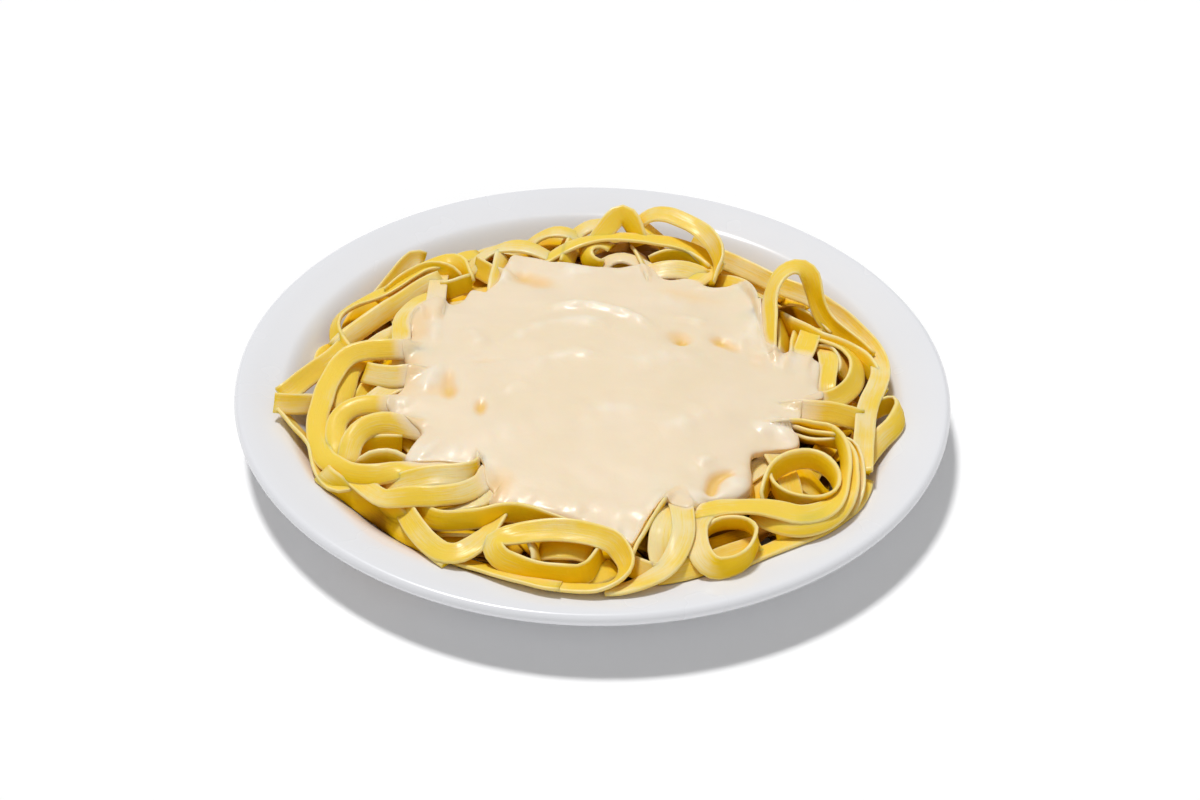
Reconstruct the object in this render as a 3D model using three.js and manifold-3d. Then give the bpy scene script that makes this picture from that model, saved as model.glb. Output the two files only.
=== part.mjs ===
import * as THREE from 'three';
import Module from 'manifold-3d';
import { mergeVertices } from 'three/addons/utils/BufferGeometryUtils.js';

// Fettuccine alfredo served on a round rimmed plate: a heap of flat egg noodles that
// lies loose to the rim, with a pool of thick cream sauce ladled over its middle.
// Millimetres, +Z up. The origin is on the table under the middle of the plate, and
// the diner sits at -Y.

// Plate: a 10 1/2 inch rim plate on a foot ring
const PLATE_RADIUS = 133.5;
const RIM_HEIGHT = 23;
const LIP_RADIUS = 2.5;
const RIM_INNER_RADIUS = 117;
const RIM_INNER_HEIGHT = 20.8;
const FLOOR_RADIUS = 95;
const FLOOR_HEIGHT = 6;
const FOOT_INNER_RADIUS = 71;
const FOOT_OUTER_RADIUS = 77;
const FOOT_RECESS = 1.6;
// Radius and height of the points that pull the wall's two curves into shape
const WALL_PULLS = [[110.5, 20], [105.5, FLOOR_HEIGHT]];
const UNDERSIDE_PULLS = [[108, 2.4], [112, 15.4]];
const UNDERSIDE_RIM = [121, 17];
const PLATE_SEGMENTS = 64;
const CURVE_STEPS = 4;

// Noodles: their section, the length of a segment, and how high they stay off the plate
const NOODLE_WIDTH = 8.2;
const NOODLE_THICKNESS = 2;
const NOODLE_STEP = 9;
const NOODLE_REST = 0.8;

// Heap under the noodles that show
const CORE_RADIUS = 105;
const CORE_HEIGHT = 32.5;
const CORE_FALL = 10;
const CORE_FALL_RADIUS = 95;
const CORE_EDGE = 3;
const CORE_SEGMENTS = 48;
const CORE_RINGS = [0.4, 0.7, 0.88, 1];
// Unevenness round the core: number of waves, their size and turn
const CORE_LUMPS = [[5, 0.9, 0.4], [11, 0.6, 0]];
const CORE_BULGES = [[3, 2, 1], [8, 1.5, 0]];

// Noodles laid round the far slope of the heap
const SLOPE_NOODLES = 6;
const SLOPE_FIRST = 30;
const SLOPE_LAST = 118;
const SLOPE_RADIUS = 96;
const SLOPE_ROLL = -45;

// Sauce
const SAUCE_CENTRE = new THREE.Vector2(2, -9);
const SAUCE_SEAT = 0.7;
const SAUCE_REACH = 70;
const SAUCE_DEPTH = 5.5;
const SAUCE_EDGE_DEPTH = 1.4;
const SAUCE_EDGE_WIDTH = 12;
const SAUCE_SEGMENTS = 80;
const SAUCE_RINGS = [0.35, 0.65, 0.85, 0.95, 1];

// Clearance between pieces that lie on each other
const GAP = 0.3;
const PLATE_CLEARANCE = 0.5;
const SAUCE_CLEARANCE = 0.4;
const UP = new THREE.Vector3(0, 0, 1);

const wasm = await Module();
wasm.setup();

// Joining and cutting

function toSolid(geometry) {
  geometry.deleteAttribute('normal');
  geometry.deleteAttribute('uv');
  const merged = mergeVertices(geometry, 1e-4);
  const index = merged.index.array;
  const faces = [];
  for (let i = 0; i < index.length; i += 3) {
    const [a, b, c] = [index[i], index[i + 1], index[i + 2]];
    if (a !== b && b !== c && c !== a) faces.push(a, b, c);
  }
  return new wasm.Manifold(new wasm.Mesh({
    numProp: 3,
    vertProperties: merged.attributes.position.array,
    triVerts: new Uint32Array(faces),
  }));
}

function toGeometry(solid) {
  const mesh = solid.getMesh();
  const geometry = new THREE.BufferGeometry();
  geometry.setAttribute('position', new THREE.BufferAttribute(mesh.vertProperties, 3));
  geometry.setIndex(new THREE.BufferAttribute(mesh.triVerts, 1));
  return geometry;
}

// Loose scraps and sealed pockets are the smaller bodies, so only the largest is kept.
function largestBody(solid) {
  const bodies = solid.decompose();
  bodies.sort((a, b) => b.volume() - a.volume());
  return bodies[0];
}

// Plate

function wallCurve(path) {
  path.bezierCurveTo(...WALL_PULLS.flat(), FLOOR_RADIUS, FLOOR_HEIGHT);
}

function plateProfile() {
  const lipHeight = RIM_HEIGHT - LIP_RADIUS;
  const lipCentre = PLATE_RADIUS - LIP_RADIUS;
  const profile = new THREE.Path();
  profile.moveTo(0, FOOT_RECESS);
  profile.lineTo(FOOT_INNER_RADIUS - 1, FOOT_RECESS);
  profile.lineTo(FOOT_INNER_RADIUS, 0);
  profile.lineTo(FOOT_OUTER_RADIUS, 0);
  profile.lineTo(FOOT_OUTER_RADIUS + 1.5, FOOT_RECESS);
  profile.lineTo(FLOOR_RADIUS, FOOT_RECESS);
  profile.bezierCurveTo(...UNDERSIDE_PULLS.flat(), ...UNDERSIDE_RIM);
  profile.lineTo(lipCentre, lipHeight - LIP_RADIUS);
  profile.absarc(lipCentre, lipHeight, LIP_RADIUS, -Math.PI / 2, Math.PI / 2, false);
  profile.lineTo(RIM_INNER_RADIUS, RIM_INNER_HEIGHT);
  wallCurve(profile);
  profile.lineTo(0, FLOOR_HEIGHT);
  return profile.getPoints(CURVE_STEPS);
}

function lathe(points) {
  return new THREE.LatheGeometry(points, PLATE_SEGMENTS).rotateX(Math.PI / 2);
}

// Upper face of the plate, from its middle out, as the heap sees it
function plateTop() {
  const face = new THREE.Path();
  face.moveTo(PLATE_RADIUS, RIM_HEIGHT);
  face.lineTo(RIM_INNER_RADIUS, RIM_INNER_HEIGHT);
  wallCurve(face);
  face.lineTo(0, FLOOR_HEIGHT);
  return face.getPoints(CURVE_STEPS).reverse();
}

const PLATE_TOP = plateTop();

function plateHeight(radius) {
  const next = PLATE_TOP.findIndex((point) => point.x >= radius);
  if (next < 1) return next < 0 ? RIM_HEIGHT : FLOOR_HEIGHT;
  const [low, high] = [PLATE_TOP[next - 1], PLATE_TOP[next]];
  return THREE.MathUtils.mapLinear(radius, low.x, high.x, low.y, high.y);
}

// What food has to stay clear of: all below the plate's upper face
function plateClearance() {
  const [reach, below] = [PLATE_RADIUS + 20, -10];
  const points = PLATE_TOP.map(({ x, y }) => new THREE.Vector2(x, y + PLATE_CLEARANCE));
  points.push(new THREE.Vector2(reach, RIM_HEIGHT + PLATE_CLEARANCE));
  points.push(new THREE.Vector2(reach, below));
  points.push(new THREE.Vector2(0, below));
  return toSolid(lathe(points.reverse()));
}

// Blankets: solids between two height functions, on rings that shrink an outline

function blanket(outline, centre, rings, top, bottom) {
  const around = outline.length;
  const levels = [top, bottom];
  const positions = [];
  const faces = [];
  for (const level of levels) {
    positions.push(centre.x, centre.y, level(centre.x, centre.y, 0));
    for (const ring of rings) {
      for (const point of outline) {
        const x = THREE.MathUtils.lerp(centre.x, point.x, ring);
        const y = THREE.MathUtils.lerp(centre.y, point.y, ring);
        positions.push(x, y, level(x, y, ring));
      }
    }
  }
  const sheet = 1 + rings.length * around;
  for (let k = 0; k < around; k++) {
    const next = (k + 1) % around;
    faces.push(0, 1 + k, 1 + next);
    faces.push(sheet, sheet + 1 + next, sheet + 1 + k);
    for (let ring = 1; ring < rings.length; ring++) {
      const inner = 1 + (ring - 1) * around;
      const outer = 1 + ring * around;
      faces.push(inner + k, outer + k, outer + next, inner + k, outer + next, inner + next);
      faces.push(sheet + inner + k, sheet + outer + next, sheet + outer + k);
      faces.push(sheet + inner + k, sheet + inner + next, sheet + outer + next);
    }
    const rim = 1 + (rings.length - 1) * around;
    faces.push(rim + k, sheet + rim + k, sheet + rim + next);
    faces.push(rim + k, sheet + rim + next, rim + next);
  }
  const geometry = new THREE.BufferGeometry();
  geometry.setAttribute('position', new THREE.Float32BufferAttribute(positions, 3));
  geometry.setIndex(faces);
  return toSolid(geometry);
}

// Heap core

function waves(list, angle) {
  return list.reduce((sum, [count, size, turn]) => sum + size * Math.sin(count * angle + turn), 0);
}

function coreHeight(x, y) {
  const radius = Math.hypot(x, y);
  const fall = CORE_FALL * (radius / CORE_FALL_RADIUS) ** 5;
  const lumps = waves(CORE_LUMPS, Math.atan2(y, x)) * (radius / CORE_RADIUS);
  return CORE_HEIGHT - fall + lumps;
}

function coreOutline() {
  const points = [];
  for (let k = 0; k < CORE_SEGMENTS; k++) {
    const angle = (k / CORE_SEGMENTS) * 2 * Math.PI;
    const radius = CORE_RADIUS + waves(CORE_BULGES, angle);
    points.push(new THREE.Vector2(radius * Math.cos(angle), radius * Math.sin(angle)));
  }
  return points;
}

function heapCore() {
  const bottom = (x, y) => plateHeight(Math.hypot(x, y)) + 3 * GAP;
  const top = (x, y) => Math.max(coreHeight(x, y), bottom(x, y) + CORE_EDGE);
  return blanket(coreOutline(), new THREE.Vector2(0, 0), CORE_RINGS, top, bottom);
}

// Noodles: flat ribbons along curves. A way-point is x, y, z and roll, the tilt in
// degrees of the ribbon's right-hand side: 0 lies flat and 90 stands on edge.

function ribbonSections(wayPoints) {
  const points = wayPoints.map(([x, y, z]) => new THREE.Vector3(x, y, z));
  const rolls = wayPoints.map(([, , , roll]) => new THREE.Vector3(roll, 0, 0));
  const route = new THREE.CatmullRomCurve3(points);
  const rollCurve = new THREE.CatmullRomCurve3(rolls, false, 'catmullrom', 0.5);
  const spans = points.length - 1;
  const sections = [];
  for (let span = 0; span < spans; span++) {
    const length = points[span].distanceTo(points[span + 1]);
    const steps = Math.max(1, Math.round(length / NOODLE_STEP));
    const first = span === 0 ? 0 : 1;
    for (let step = first; step <= steps; step++) {
      const t = (span + step / steps) / spans;
      sections.push(section(route.getPoint(t), route.getTangent(t), rollCurve.getPoint(t).x));
    }
  }
  return sections;
}

// The four corners of a ribbon's end face, raised where the plate's wall is in the way
function section(point, tangent, roll) {
  const side = new THREE.Vector3().crossVectors(tangent, UP).normalize();
  const across = side.applyAxisAngle(tangent, -THREE.MathUtils.degToRad(roll));
  const normal = new THREE.Vector3().crossVectors(across, tangent);
  const corners = [[1, 1], [-1, 1], [-1, -1], [1, -1]].map(([u, v]) => {
    const corner = point.clone().addScaledVector(across, (u * NOODLE_WIDTH) / 2);
    return corner.addScaledVector(normal, (v * NOODLE_THICKNESS) / 2);
  });
  const depths = corners.map(({ x, y, z }) => plateHeight(Math.hypot(x, y)) + NOODLE_REST - z);
  const lift = Math.max(0, ...depths);
  for (const corner of corners) corner.z += lift;
  return corners;
}

// A noodle that runs in under the sauce shows only up to the sauce's edge.
function clearOfSauce(sections) {
  const edge = sauceOutline(NOODLE_THICKNESS);
  const runs = [[]];
  for (const corners of sections) {
    const [a, , b] = corners;
    const covered = isInside(edge, (a.x + b.x) / 2, (a.y + b.y) / 2)
      && Math.min(a.z, b.z) < sauceTop(a.x, a.y);
    if (covered) runs.push([]);
    else runs[runs.length - 1].push(corners);
  }
  return runs.sort((a, b) => b.length - a.length)[0];
}

function ribbon(wayPoints) {
  const sections = clearOfSauce(ribbonSections(wayPoints));
  const faces = [0, 1, 2, 0, 2, 3];
  const last = (sections.length - 1) * 4;
  faces.push(last, last + 2, last + 1, last, last + 3, last + 2);
  for (let k = 0; k < last; k += 4) {
    for (let corner = 0; corner < 4; corner++) {
      const [a, b] = [k + corner, k + ((corner + 1) % 4)];
      faces.push(a, b + 4, b, a, a + 4, b + 4);
    }
  }
  const positions = sections.flat().flatMap((corner) => corner.toArray());
  const geometry = new THREE.BufferGeometry();
  geometry.setAttribute('position', new THREE.Float32BufferAttribute(positions, 3));
  geometry.setIndex(faces);
  return toSolid(geometry);
}

// Noodles that lie or hang along open routes, clockwise from the left of the plate
const LAID_NOODLES = {
  leftSweep: [
    [-66, 4, 32, 45], [-88, 6.5, 30, 45], [-98.5, -6, 26, 12], [-100.5, -29, 24, 0],
    [-96, -52, 24, -10], [-79, -63.5, 26.5, -32], [-56, -62, 29.5, -25], [-39, -61, 25, 0],
  ],
  leftFlap: [[-93, 11, 23, 0], [-110, -12, 26, -20], [-109, -20.5, 25.5, -50], [-90, -18, 22, -40]],
  leftUnder: [[-116, -20, 23, 54], [-109, -32, 22, 54], [-95, -53, 19, 40]],
  leftOuter: [
    [-92, 20, 15, -60], [-100, 36, 17.5, -60], [-88.5, 53, 17.5, -60], [-77, 64.5, 17.5, -60],
    [-58, 83, 17, -60],
  ],
  leftWide: [[-88, 18, 19, -25], [-85.5, 41, 19, -35], [-74, 57, 20, -35], [-60, 73, 18, -35]],
  leftInner: [[-73, 12, 26, -10], [-73, 29, 26, -25], [-61, 50, 26, -30]],
  leftRingSide: [[-84, 8, 26, 30], [-90.5, -5, 26.5, 40], [-87, -24, 23.5, 45]],
  leftStub: [[-86, -3, 24, -40], [-74, -6, 28, -45], [-66, -8, 28.5, -30]],
  leftArch: [
    [-66, -26, 28, 20], [-86, -29.5, 28.5, 20], [-91.5, -43, 24.5, -5], [-84, -58, 20, -10],
  ],
  leftArchLow: [[-62, -36, 27, 15], [-78, -37, 28, 15], [-85.5, -49, 24, -5], [-84, -57, 21, -10]],
  leftCorner: [[-96, -42, 21, 0], [-96.5, -61, 21.5, -10], [-90, -67, 21.5, -10]],
  hairpinUpper: [[-81, -70, 23, -35], [-67, -65, 27.5, -20], [-48, -67, 28.5, 0], [-38, -66, 23, 0]],
  hairpinLower: [[-82, -67, 22, -30], [-70, -76, 26, -22], [-52, -76.5, 27.5, -5], [-38, -75, 22, 0]],
  bowlLeft: [
    [-66, -77, 24, -60], [-61, -93, 22.5, -60], [-47, -102, 23, -20], [-34, -90, 26, -30],
    [-29, -82, 27.5, -60],
  ],
  bowlBack: [[-60, -80, 24, 80], [-45, -84, 26, 75], [-27, -79, 28, 60], [-5, -87, 28, 40]],
  bowlOuter: [[-81, -68, 24, -50], [-64, -87, 23, -50], [-45, -104, 23, -25], [-30, -100, 24, -20]],
  frontOuterLeft: [[-92, -58, 21, -15], [-67, -86, 22, -15], [-44, -105, 23, -10], [-18, -112, 22, -10]],
  frontLoop: [
    [-38, -92, 23, -50], [-23, -97.5, 28, -15], [0, -97, 29, -12], [13, -105, 25.5, -55],
    [7, -115.5, 22.5, -30], [-14, -116, 21.5, -20],
  ],
  frontBand: [[3, -92, 25, 100], [5, -104, 26, 90], [-8, -110.5, 24.5, 75], [-38, -97, 23.5, 75]],
  tongueEdge: [[23, -74, 28, 80], [17, -94, 27, 80], [10, -112, 22, 80]],
  frontBulge: [[27, -76, 24, -40], [21, -93, 22, -45], [26, -110, 18, -40]],
  frontRightSweep: [[20, -74, 28, -10], [32, -92, 28.5, 5], [22, -113, 24, 0], [2, -117.5, 21, 0]],
  rightLongBand: [
    [31, -95, 24, -20], [43, -82.5, 28.5, -10], [68, -79.5, 27.5, -10], [86.5, -73.5, 26, 0],
    [92, -51, 27, 15], [74, -31, 28, 0],
  ],
  rightUnderBand: [[54, -82, 23, -60], [63, -91.5, 24, -35], [82, -81, 24.5, -20], [97, -48, 25, 10]],
  rightEdgeLow: [[44, -103, 21, -10], [77, -84, 21.5, -20], [100, -50, 21, -20]],
  rightRadial: [[64, -22, 29, -15], [87, -23.5, 27.5, -15], [104, -22, 21, -15]],
  rightOuter: [
    [40, 84, 24, -30], [60, 68, 27, -32], [87, 59.5, 22.5, -35], [105, 36, 22, -35],
    [110, 5, 26, -5], [101, -28, 28, 35], [97, -58, 26, 40],
  ],
  rightOuterLow: [[56, 64, 23, -35], [82, 52, 19.5, -35], [97, 29, 19.5, -30], [103, 0, 20, -15]],
  rightEdgeLoop: [
    [94, -17, 23, 85], [109, -10.5, 25.5, 85], [113, -20, 24.5, 40], [96, -48, 22, 30],
  ],
  rightHoop: [
    [66, 0, 31, 60], [67, 20, 36, 60], [70.5, 44, 42, 70], [77, 51, 44, 90], [83.5, 47.5, 42, 110],
    [87.5, 39, 36, 120], [98, 24, 28, 110], [108, 6, 22, 90],
  ],
  rightCurlOuter: [
    [82, 24, 25, -90], [96.5, 14, 26.5, -90], [96, -5, 26.5, -80], [84, -14, 27.5, -50],
  ],
  rightCurlInner: [[84, 18, 23, 0], [90.5, 9, 28.5, 0], [86.5, -6, 28.5, 0], [85.5, -17, 23, 0]],
  rightFlat: [[86, 38, 21, 0], [81, 19, 27.5, 5], [79, 0, 28, 5]],
  backHoop: [
    [14, 72, 28, -80], [19, 88, 39, -88], [27, 88.5, 40.5, -90], [36, 83, 40.5, -88],
    [43.5, 75, 39.5, -85], [47.5, 66, 38, -80], [45, 50, 30, -70],
  ],
  backPeak: [
    [-2, 72, 30, -60], [3, 80, 34, -60], [8, 88, 38.5, -65], [11, 91.5, 40, -90], [15, 88, 38, -110],
    [19, 73, 28, -110],
  ],
  backBridge: [
    [-26, 60, 27, -20], [-9, 75, 34, -50], [14, 80, 36, -75], [38, 73, 33, -70], [52, 58, 26, -50],
  ],
  backSmallArch: [[-29, 84, 22, -70], [-19, 87.5, 29, -90], [-5, 76, 24, -90]],
  backLeftBand: [[-46, 80, 22, -60], [-33, 80, 30, -75], [-14, 64, 27, -50]],
  backLeftArch: [[-53, 52, 26, 60], [-47, 68, 31, 80], [-27, 79, 26, 100]],
  backLeftHoop: [[-86, 52, 18, -60], [-60, 69, 29, -75], [-47, 48, 26, -90]],
  backLeftTip: [[-90, 44, 17, -50], [-83, 55, 19, -50], [-73, 71, 25.5, -60]],
  backInner: [[-6, 80, 24, -60], [3, 66, 30, -20], [5, 56, 27, 0]],
  backEnd: [[40, 70, 26, 0], [28, 63, 30.5, 0], [24, 57, 28, 0]],
};

// Noodles curled into rings that stand on edge: the ring's middle, its two radii, the
// height of its far side and near side, and its first angle and sweep in degrees
const CURLED_NOODLES = {
  smallRing: { centre: [46.5, -98], radii: [10, 10.5], far: 26, near: 24.5, start: 175, sweep: 300 },
  rightRing: { centre: [74, -65], radii: [13, 12.5], far: 29.5, near: 23, start: 200, sweep: -330 },
};

function curl({ centre, radii, far, near, start, sweep }) {
  const steps = Math.round(Math.abs(sweep) / 40);
  const wayPoints = [];
  for (let step = 0; step <= steps; step++) {
    const angle = THREE.MathUtils.degToRad(start + (sweep * step) / steps);
    const x = centre[0] + radii[0] * Math.cos(angle);
    const y = centre[1] + radii[1] * Math.sin(angle);
    const z = THREE.MathUtils.lerp(near, far, (1 + Math.sin(angle)) / 2);
    wayPoints.push([x, y, z, 90]);
  }
  return wayPoints;
}

// Each runs anticlockwise down the slope, its outer side lower.
function slopeNoodle(k) {
  const start = THREE.MathUtils.mapLinear(k, 0, SLOPE_NOODLES - 1, SLOPE_FIRST, SLOPE_LAST);
  return [0, 12, 24, 36].map((turn) => {
    const angle = THREE.MathUtils.degToRad(start + turn);
    const radius = SLOPE_RADIUS + 5 * Math.sin(2.4 * k + turn / 9);
    const [x, y] = [radius * Math.cos(angle), radius * Math.sin(angle)];
    return [x, y, coreHeight(x, y) + NOODLE_REST, SLOPE_ROLL + 15 * Math.sin(k + turn)];
  });
}

// Sauce pool: its edge seen from above runs between and over the noodles
const SAUCE_EDGE = [
  [-36, 58], [-43, 46], [-58, 38], [-69, 27], [-73, 8], [-71, -10], [-72, -26], [-66, -42], [-61, -56],
  [-42, -61], [-38, -70], [-32, -80], [-18, -84], [-3, -90], [9, -96], [17, -95], [25, -83], [44, -77],
  [56, -68], [60, -52], [73, -40], [76, -24], [82, -9], [80, 5], [63, 10], [62, 25], [61, 41], [55, 49],
  [44, 51], [32, 56], [20, 61], [2, 62], [-15, 65], [-31, 70],
];

function sauceOutline(grow) {
  const points = SAUCE_EDGE.map(([x, y]) => new THREE.Vector3(x, y, 0));
  const edge = new THREE.CatmullRomCurve3(points, true).getSpacedPoints(SAUCE_SEGMENTS).slice(1);
  return edge.map((point) => {
    const out = new THREE.Vector2(point.x, point.y).sub(SAUCE_CENTRE);
    return out.setLength(out.length() + grow).add(SAUCE_CENTRE);
  });
}

function isInside(outline, x, y) {
  let inside = false;
  let previous = outline[outline.length - 1];
  for (const point of outline) {
    const crosses = point.y > y !== previous.y > y;
    const slope = (previous.x - point.x) / (previous.y - point.y);
    if (crosses && x < point.x + slope * (y - point.y)) inside = !inside;
    previous = point;
  }
  return inside;
}

function sauceTop(x, y) {
  const ripple = 0.5 * Math.sin(x / 13 + y / 29) + 0.4 * Math.sin(y / 11 - x / 37);
  return coreHeight(x, y) + SAUCE_DEPTH + ripple;
}

// The pool sits in a shallow seat in the heap. Grown a little, it is also the space
// that the noodles have to stay clear of.
function saucePool(grow) {
  const bottom = (x, y) => coreHeight(x, y) - SAUCE_SEAT - grow;
  const top = (x, y, ring) => {
    const inward = Math.min(1, ((1 - ring) * SAUCE_REACH) / SAUCE_EDGE_WIDTH);
    const round = Math.sqrt(1 - (1 - inward) ** 2);
    const edge = coreHeight(x, y) + SAUCE_EDGE_DEPTH;
    return THREE.MathUtils.lerp(edge, sauceTop(x, y), round) + grow;
  };
  return blanket(sauceOutline(grow), SAUCE_CENTRE, SAUCE_RINGS, top, bottom);
}

function noodleHeap() {
  const routes = [
    ...Object.values(LAID_NOODLES),
    ...Object.values(CURLED_NOODLES).map(curl),
    ...Array.from({ length: SLOPE_NOODLES }, (_, k) => slopeNoodle(k)),
  ];
  const heap = routes.reduce((solid, route) => solid.add(ribbon(route)), heapCore());
  return largestBody(heap.subtract(plateClearance()).subtract(saucePool(SAUCE_CLEARANCE)));
}

function piece(name, geometry, color, roughness) {
  const material = new THREE.MeshStandardMaterial({ color, roughness, metalness: 0 });
  const mesh = new THREE.Mesh(geometry, material);
  mesh.name = name;
  return mesh;
}

const dish = new THREE.Group();
dish.add(piece('plate', lathe(plateProfile()), '#e9e9ea', 0.2));
dish.add(piece('fettuccine', toGeometry(noodleHeap()), '#e2c562', 0.4));
dish.add(piece('alfredo_sauce', toGeometry(saucePool(0)), '#f5e4cb', 0.3));

export default dish;
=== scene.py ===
import math

import bpy
import numpy as np
from mathutils import Matrix


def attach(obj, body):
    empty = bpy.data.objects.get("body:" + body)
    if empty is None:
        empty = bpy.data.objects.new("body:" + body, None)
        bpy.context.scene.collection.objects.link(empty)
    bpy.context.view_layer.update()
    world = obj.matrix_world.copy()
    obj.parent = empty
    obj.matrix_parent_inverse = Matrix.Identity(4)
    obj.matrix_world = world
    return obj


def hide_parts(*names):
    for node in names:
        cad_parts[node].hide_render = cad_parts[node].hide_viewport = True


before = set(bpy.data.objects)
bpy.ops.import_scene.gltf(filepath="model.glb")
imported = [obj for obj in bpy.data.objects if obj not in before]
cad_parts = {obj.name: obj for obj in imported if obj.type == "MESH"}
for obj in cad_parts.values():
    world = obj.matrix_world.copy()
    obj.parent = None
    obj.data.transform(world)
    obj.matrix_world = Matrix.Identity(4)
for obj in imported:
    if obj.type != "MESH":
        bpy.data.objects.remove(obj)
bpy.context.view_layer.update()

MM = 0.001

# ---------------------------------------------------------------------------
# Camera
# It looks down on the table from the diner's side through a long lens, and is
# turned about one degree on its side.

CAMERA_ELEVATION = math.radians(37.3)
CAMERA_ROLL = math.radians(1.1)
CAMERA_DISTANCE = 1050 * MM
CAMERA_TARGET = np.array((2.8, -12.3, 23.0)) * MM
CAMERA_LENS = 85
CAMERA_SENSOR = 36

camera_data = bpy.data.cameras.new("camera")
camera_data.lens = CAMERA_LENS
camera_data.sensor_width = CAMERA_SENSOR
camera_data.sensor_fit = "HORIZONTAL"
camera_data.clip_start = 10 * MM
camera_data.clip_end = 20
camera = bpy.data.objects.new("camera", camera_data)
bpy.context.scene.collection.objects.link(camera)
camera_back = np.array((0, -math.cos(CAMERA_ELEVATION), math.sin(CAMERA_ELEVATION)))
camera.matrix_world = (
    Matrix.Translation(CAMERA_TARGET + camera_back * CAMERA_DISTANCE)
    @ Matrix.Rotation(math.pi / 2 - CAMERA_ELEVATION, 4, "X")
    @ Matrix.Rotation(CAMERA_ROLL, 4, "Z")
)
bpy.context.scene.camera = camera

# The picture's size, and the directions across it and up it
PICTURE_COLUMNS, PICTURE_ROWS = 1200, 800
FOCAL_PIXELS = CAMERA_LENS / CAMERA_SENSOR * PICTURE_COLUMNS
sideways = np.array((1, 0, 0))
upright = np.array((0, math.sin(CAMERA_ELEVATION), math.cos(CAMERA_ELEVATION)))
picture_across = sideways * math.cos(CAMERA_ROLL) + upright * math.sin(CAMERA_ROLL)
picture_up = upright * math.cos(CAMERA_ROLL) - sideways * math.sin(CAMERA_ROLL)
camera_place = (CAMERA_TARGET + camera_back * CAMERA_DISTANCE) / MM


def sighted(column, row, height):
    """x and y, to half a millimetre, of what shows at a pixel of the picture and is that high."""
    across = picture_across * (column - PICTURE_COLUMNS / 2)
    sight = across - picture_up * (row - PICTURE_ROWS / 2) - camera_back * FOCAL_PIXELS
    place = camera_place + sight * (height - camera_place[2]) / sight[2]
    return tuple(np.round(place[:2] * 2) / 2)


def seen(places):
    """Places given by column, row and height, brought to x, y and z. What else they hold stays."""
    return [(*sighted(*place[:3]), *place[2:]) for place in places]


# ---------------------------------------------------------------------------
# Plate
# A round rim plate of white glazed porcelain, thrown on a foot ring. The wall
# runs up from the flat well to a nearly level rim with a rolled lip.

PLATE_RADIUS = 133.5
RIM_HEIGHT = 23.0
LIP_RADIUS = 2.5
RIM_INNER_RADIUS = 117.0
RIM_INNER_HEIGHT = 20.8
WELL_RADIUS = 95.0
WELL_HEIGHT = 6.0
FOOT_INNER_RADIUS = 71.0
FOOT_OUTER_RADIUS = 77.0
FOOT_RECESS = 1.6
PLATE_SEGMENTS = 240
# Radius and height of the points that pull the wall's two curves into shape
WALL_PULLS = [(110.5, 20), (105.5, WELL_HEIGHT)]
UNDERSIDE_PULLS = [(108, 2.4), (112, 15.4)]
UNDERSIDE_RIM = (121, 17)
RIM_CROWN = (126, 22.05)
RIM_EASE = (119.5, 21.2)
# The foot ring's rounded edges: how far outside each edge, and the height there
FOOT_INNER_EDGE = [(-1, FOOT_RECESS), (-0.2, 0.4), (0.6, 0)]
FOOT_OUTER_EDGE = [(-0.6, 0), (0.2, 0.4), (1.5, FOOT_RECESS)]
GLAZE_COLOUR = (0.783, 0.788, 0.815)
GLAZE_PALE = (0.8, 0.806, 0.833)
SMEAR_COLOUR = (0.86, 0.71, 0.60)

# Where thin sauce has run out on the plate: x, y, half length, half width and heading
SMEARS = [(-80.5, -80, 13, 3, -47), (-65, -96, 11, 2.6, -38), (-102, -47, 10, 2.6, -72)]


def bezier(start, pull_a, pull_b, end, count):
    """Points of a cubic curve, its first one left out."""
    t = np.linspace(0, 1, count + 1)[1:, None]
    points = [np.array(p, float) for p in (start, pull_a, pull_b, end)]
    return (
        (1 - t) ** 3 * points[0]
        + 3 * t * (1 - t) ** 2 * points[1]
        + 3 * t**2 * (1 - t) * points[2]
        + t**3 * points[3]
    )


def plate_wall():
    """Radius and height of the plate's upper face, from the rim's inner edge to the well."""
    rim_edge, well_edge = (RIM_INNER_RADIUS, RIM_INNER_HEIGHT), (WELL_RADIUS, WELL_HEIGHT)
    return bezier(rim_edge, *WALL_PULLS, well_edge, 24)


def plate_profile():
    """Radius and height round the plate's section, from its middle below to its middle above."""
    lip_centre = np.array((PLATE_RADIUS - LIP_RADIUS, RIM_HEIGHT - LIP_RADIUS))
    turn = np.linspace(-math.pi / 2, math.pi / 2, 13)
    foot = [(FOOT_INNER_RADIUS + out, height) for out, height in FOOT_INNER_EDGE]
    foot += [(FOOT_OUTER_RADIUS + out, height) for out, height in FOOT_OUTER_EDGE]
    return np.vstack(
        (
            [(0, FOOT_RECESS), (40, FOOT_RECESS)],
            foot,
            [(86, FOOT_RECESS), (WELL_RADIUS, FOOT_RECESS)],
            bezier((WELL_RADIUS, FOOT_RECESS), *UNDERSIDE_PULLS, UNDERSIDE_RIM, 12),
            lip_centre + LIP_RADIUS * np.column_stack((np.cos(turn), np.sin(turn))),
            [RIM_CROWN, RIM_EASE, (RIM_INNER_RADIUS, RIM_INNER_HEIGHT)],
            plate_wall(),
            [(60, WELL_HEIGHT), (30, WELL_HEIGHT), (0, WELL_HEIGHT)],
        )
    )


def new_piece(name, vertices, faces, material):
    """A smooth-shaded mesh object from points in millimetres."""
    mesh = bpy.data.meshes.new(name)
    mesh.from_pydata((np.asarray(vertices) * MM).tolist(), [], [list(map(int, face)) for face in faces])
    mesh.polygons.foreach_set("use_smooth", [True] * len(mesh.polygons))
    mesh.materials.append(material)
    mesh.update()
    piece = bpy.data.objects.new(name, mesh)
    bpy.context.scene.collection.objects.link(piece)
    return piece


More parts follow.
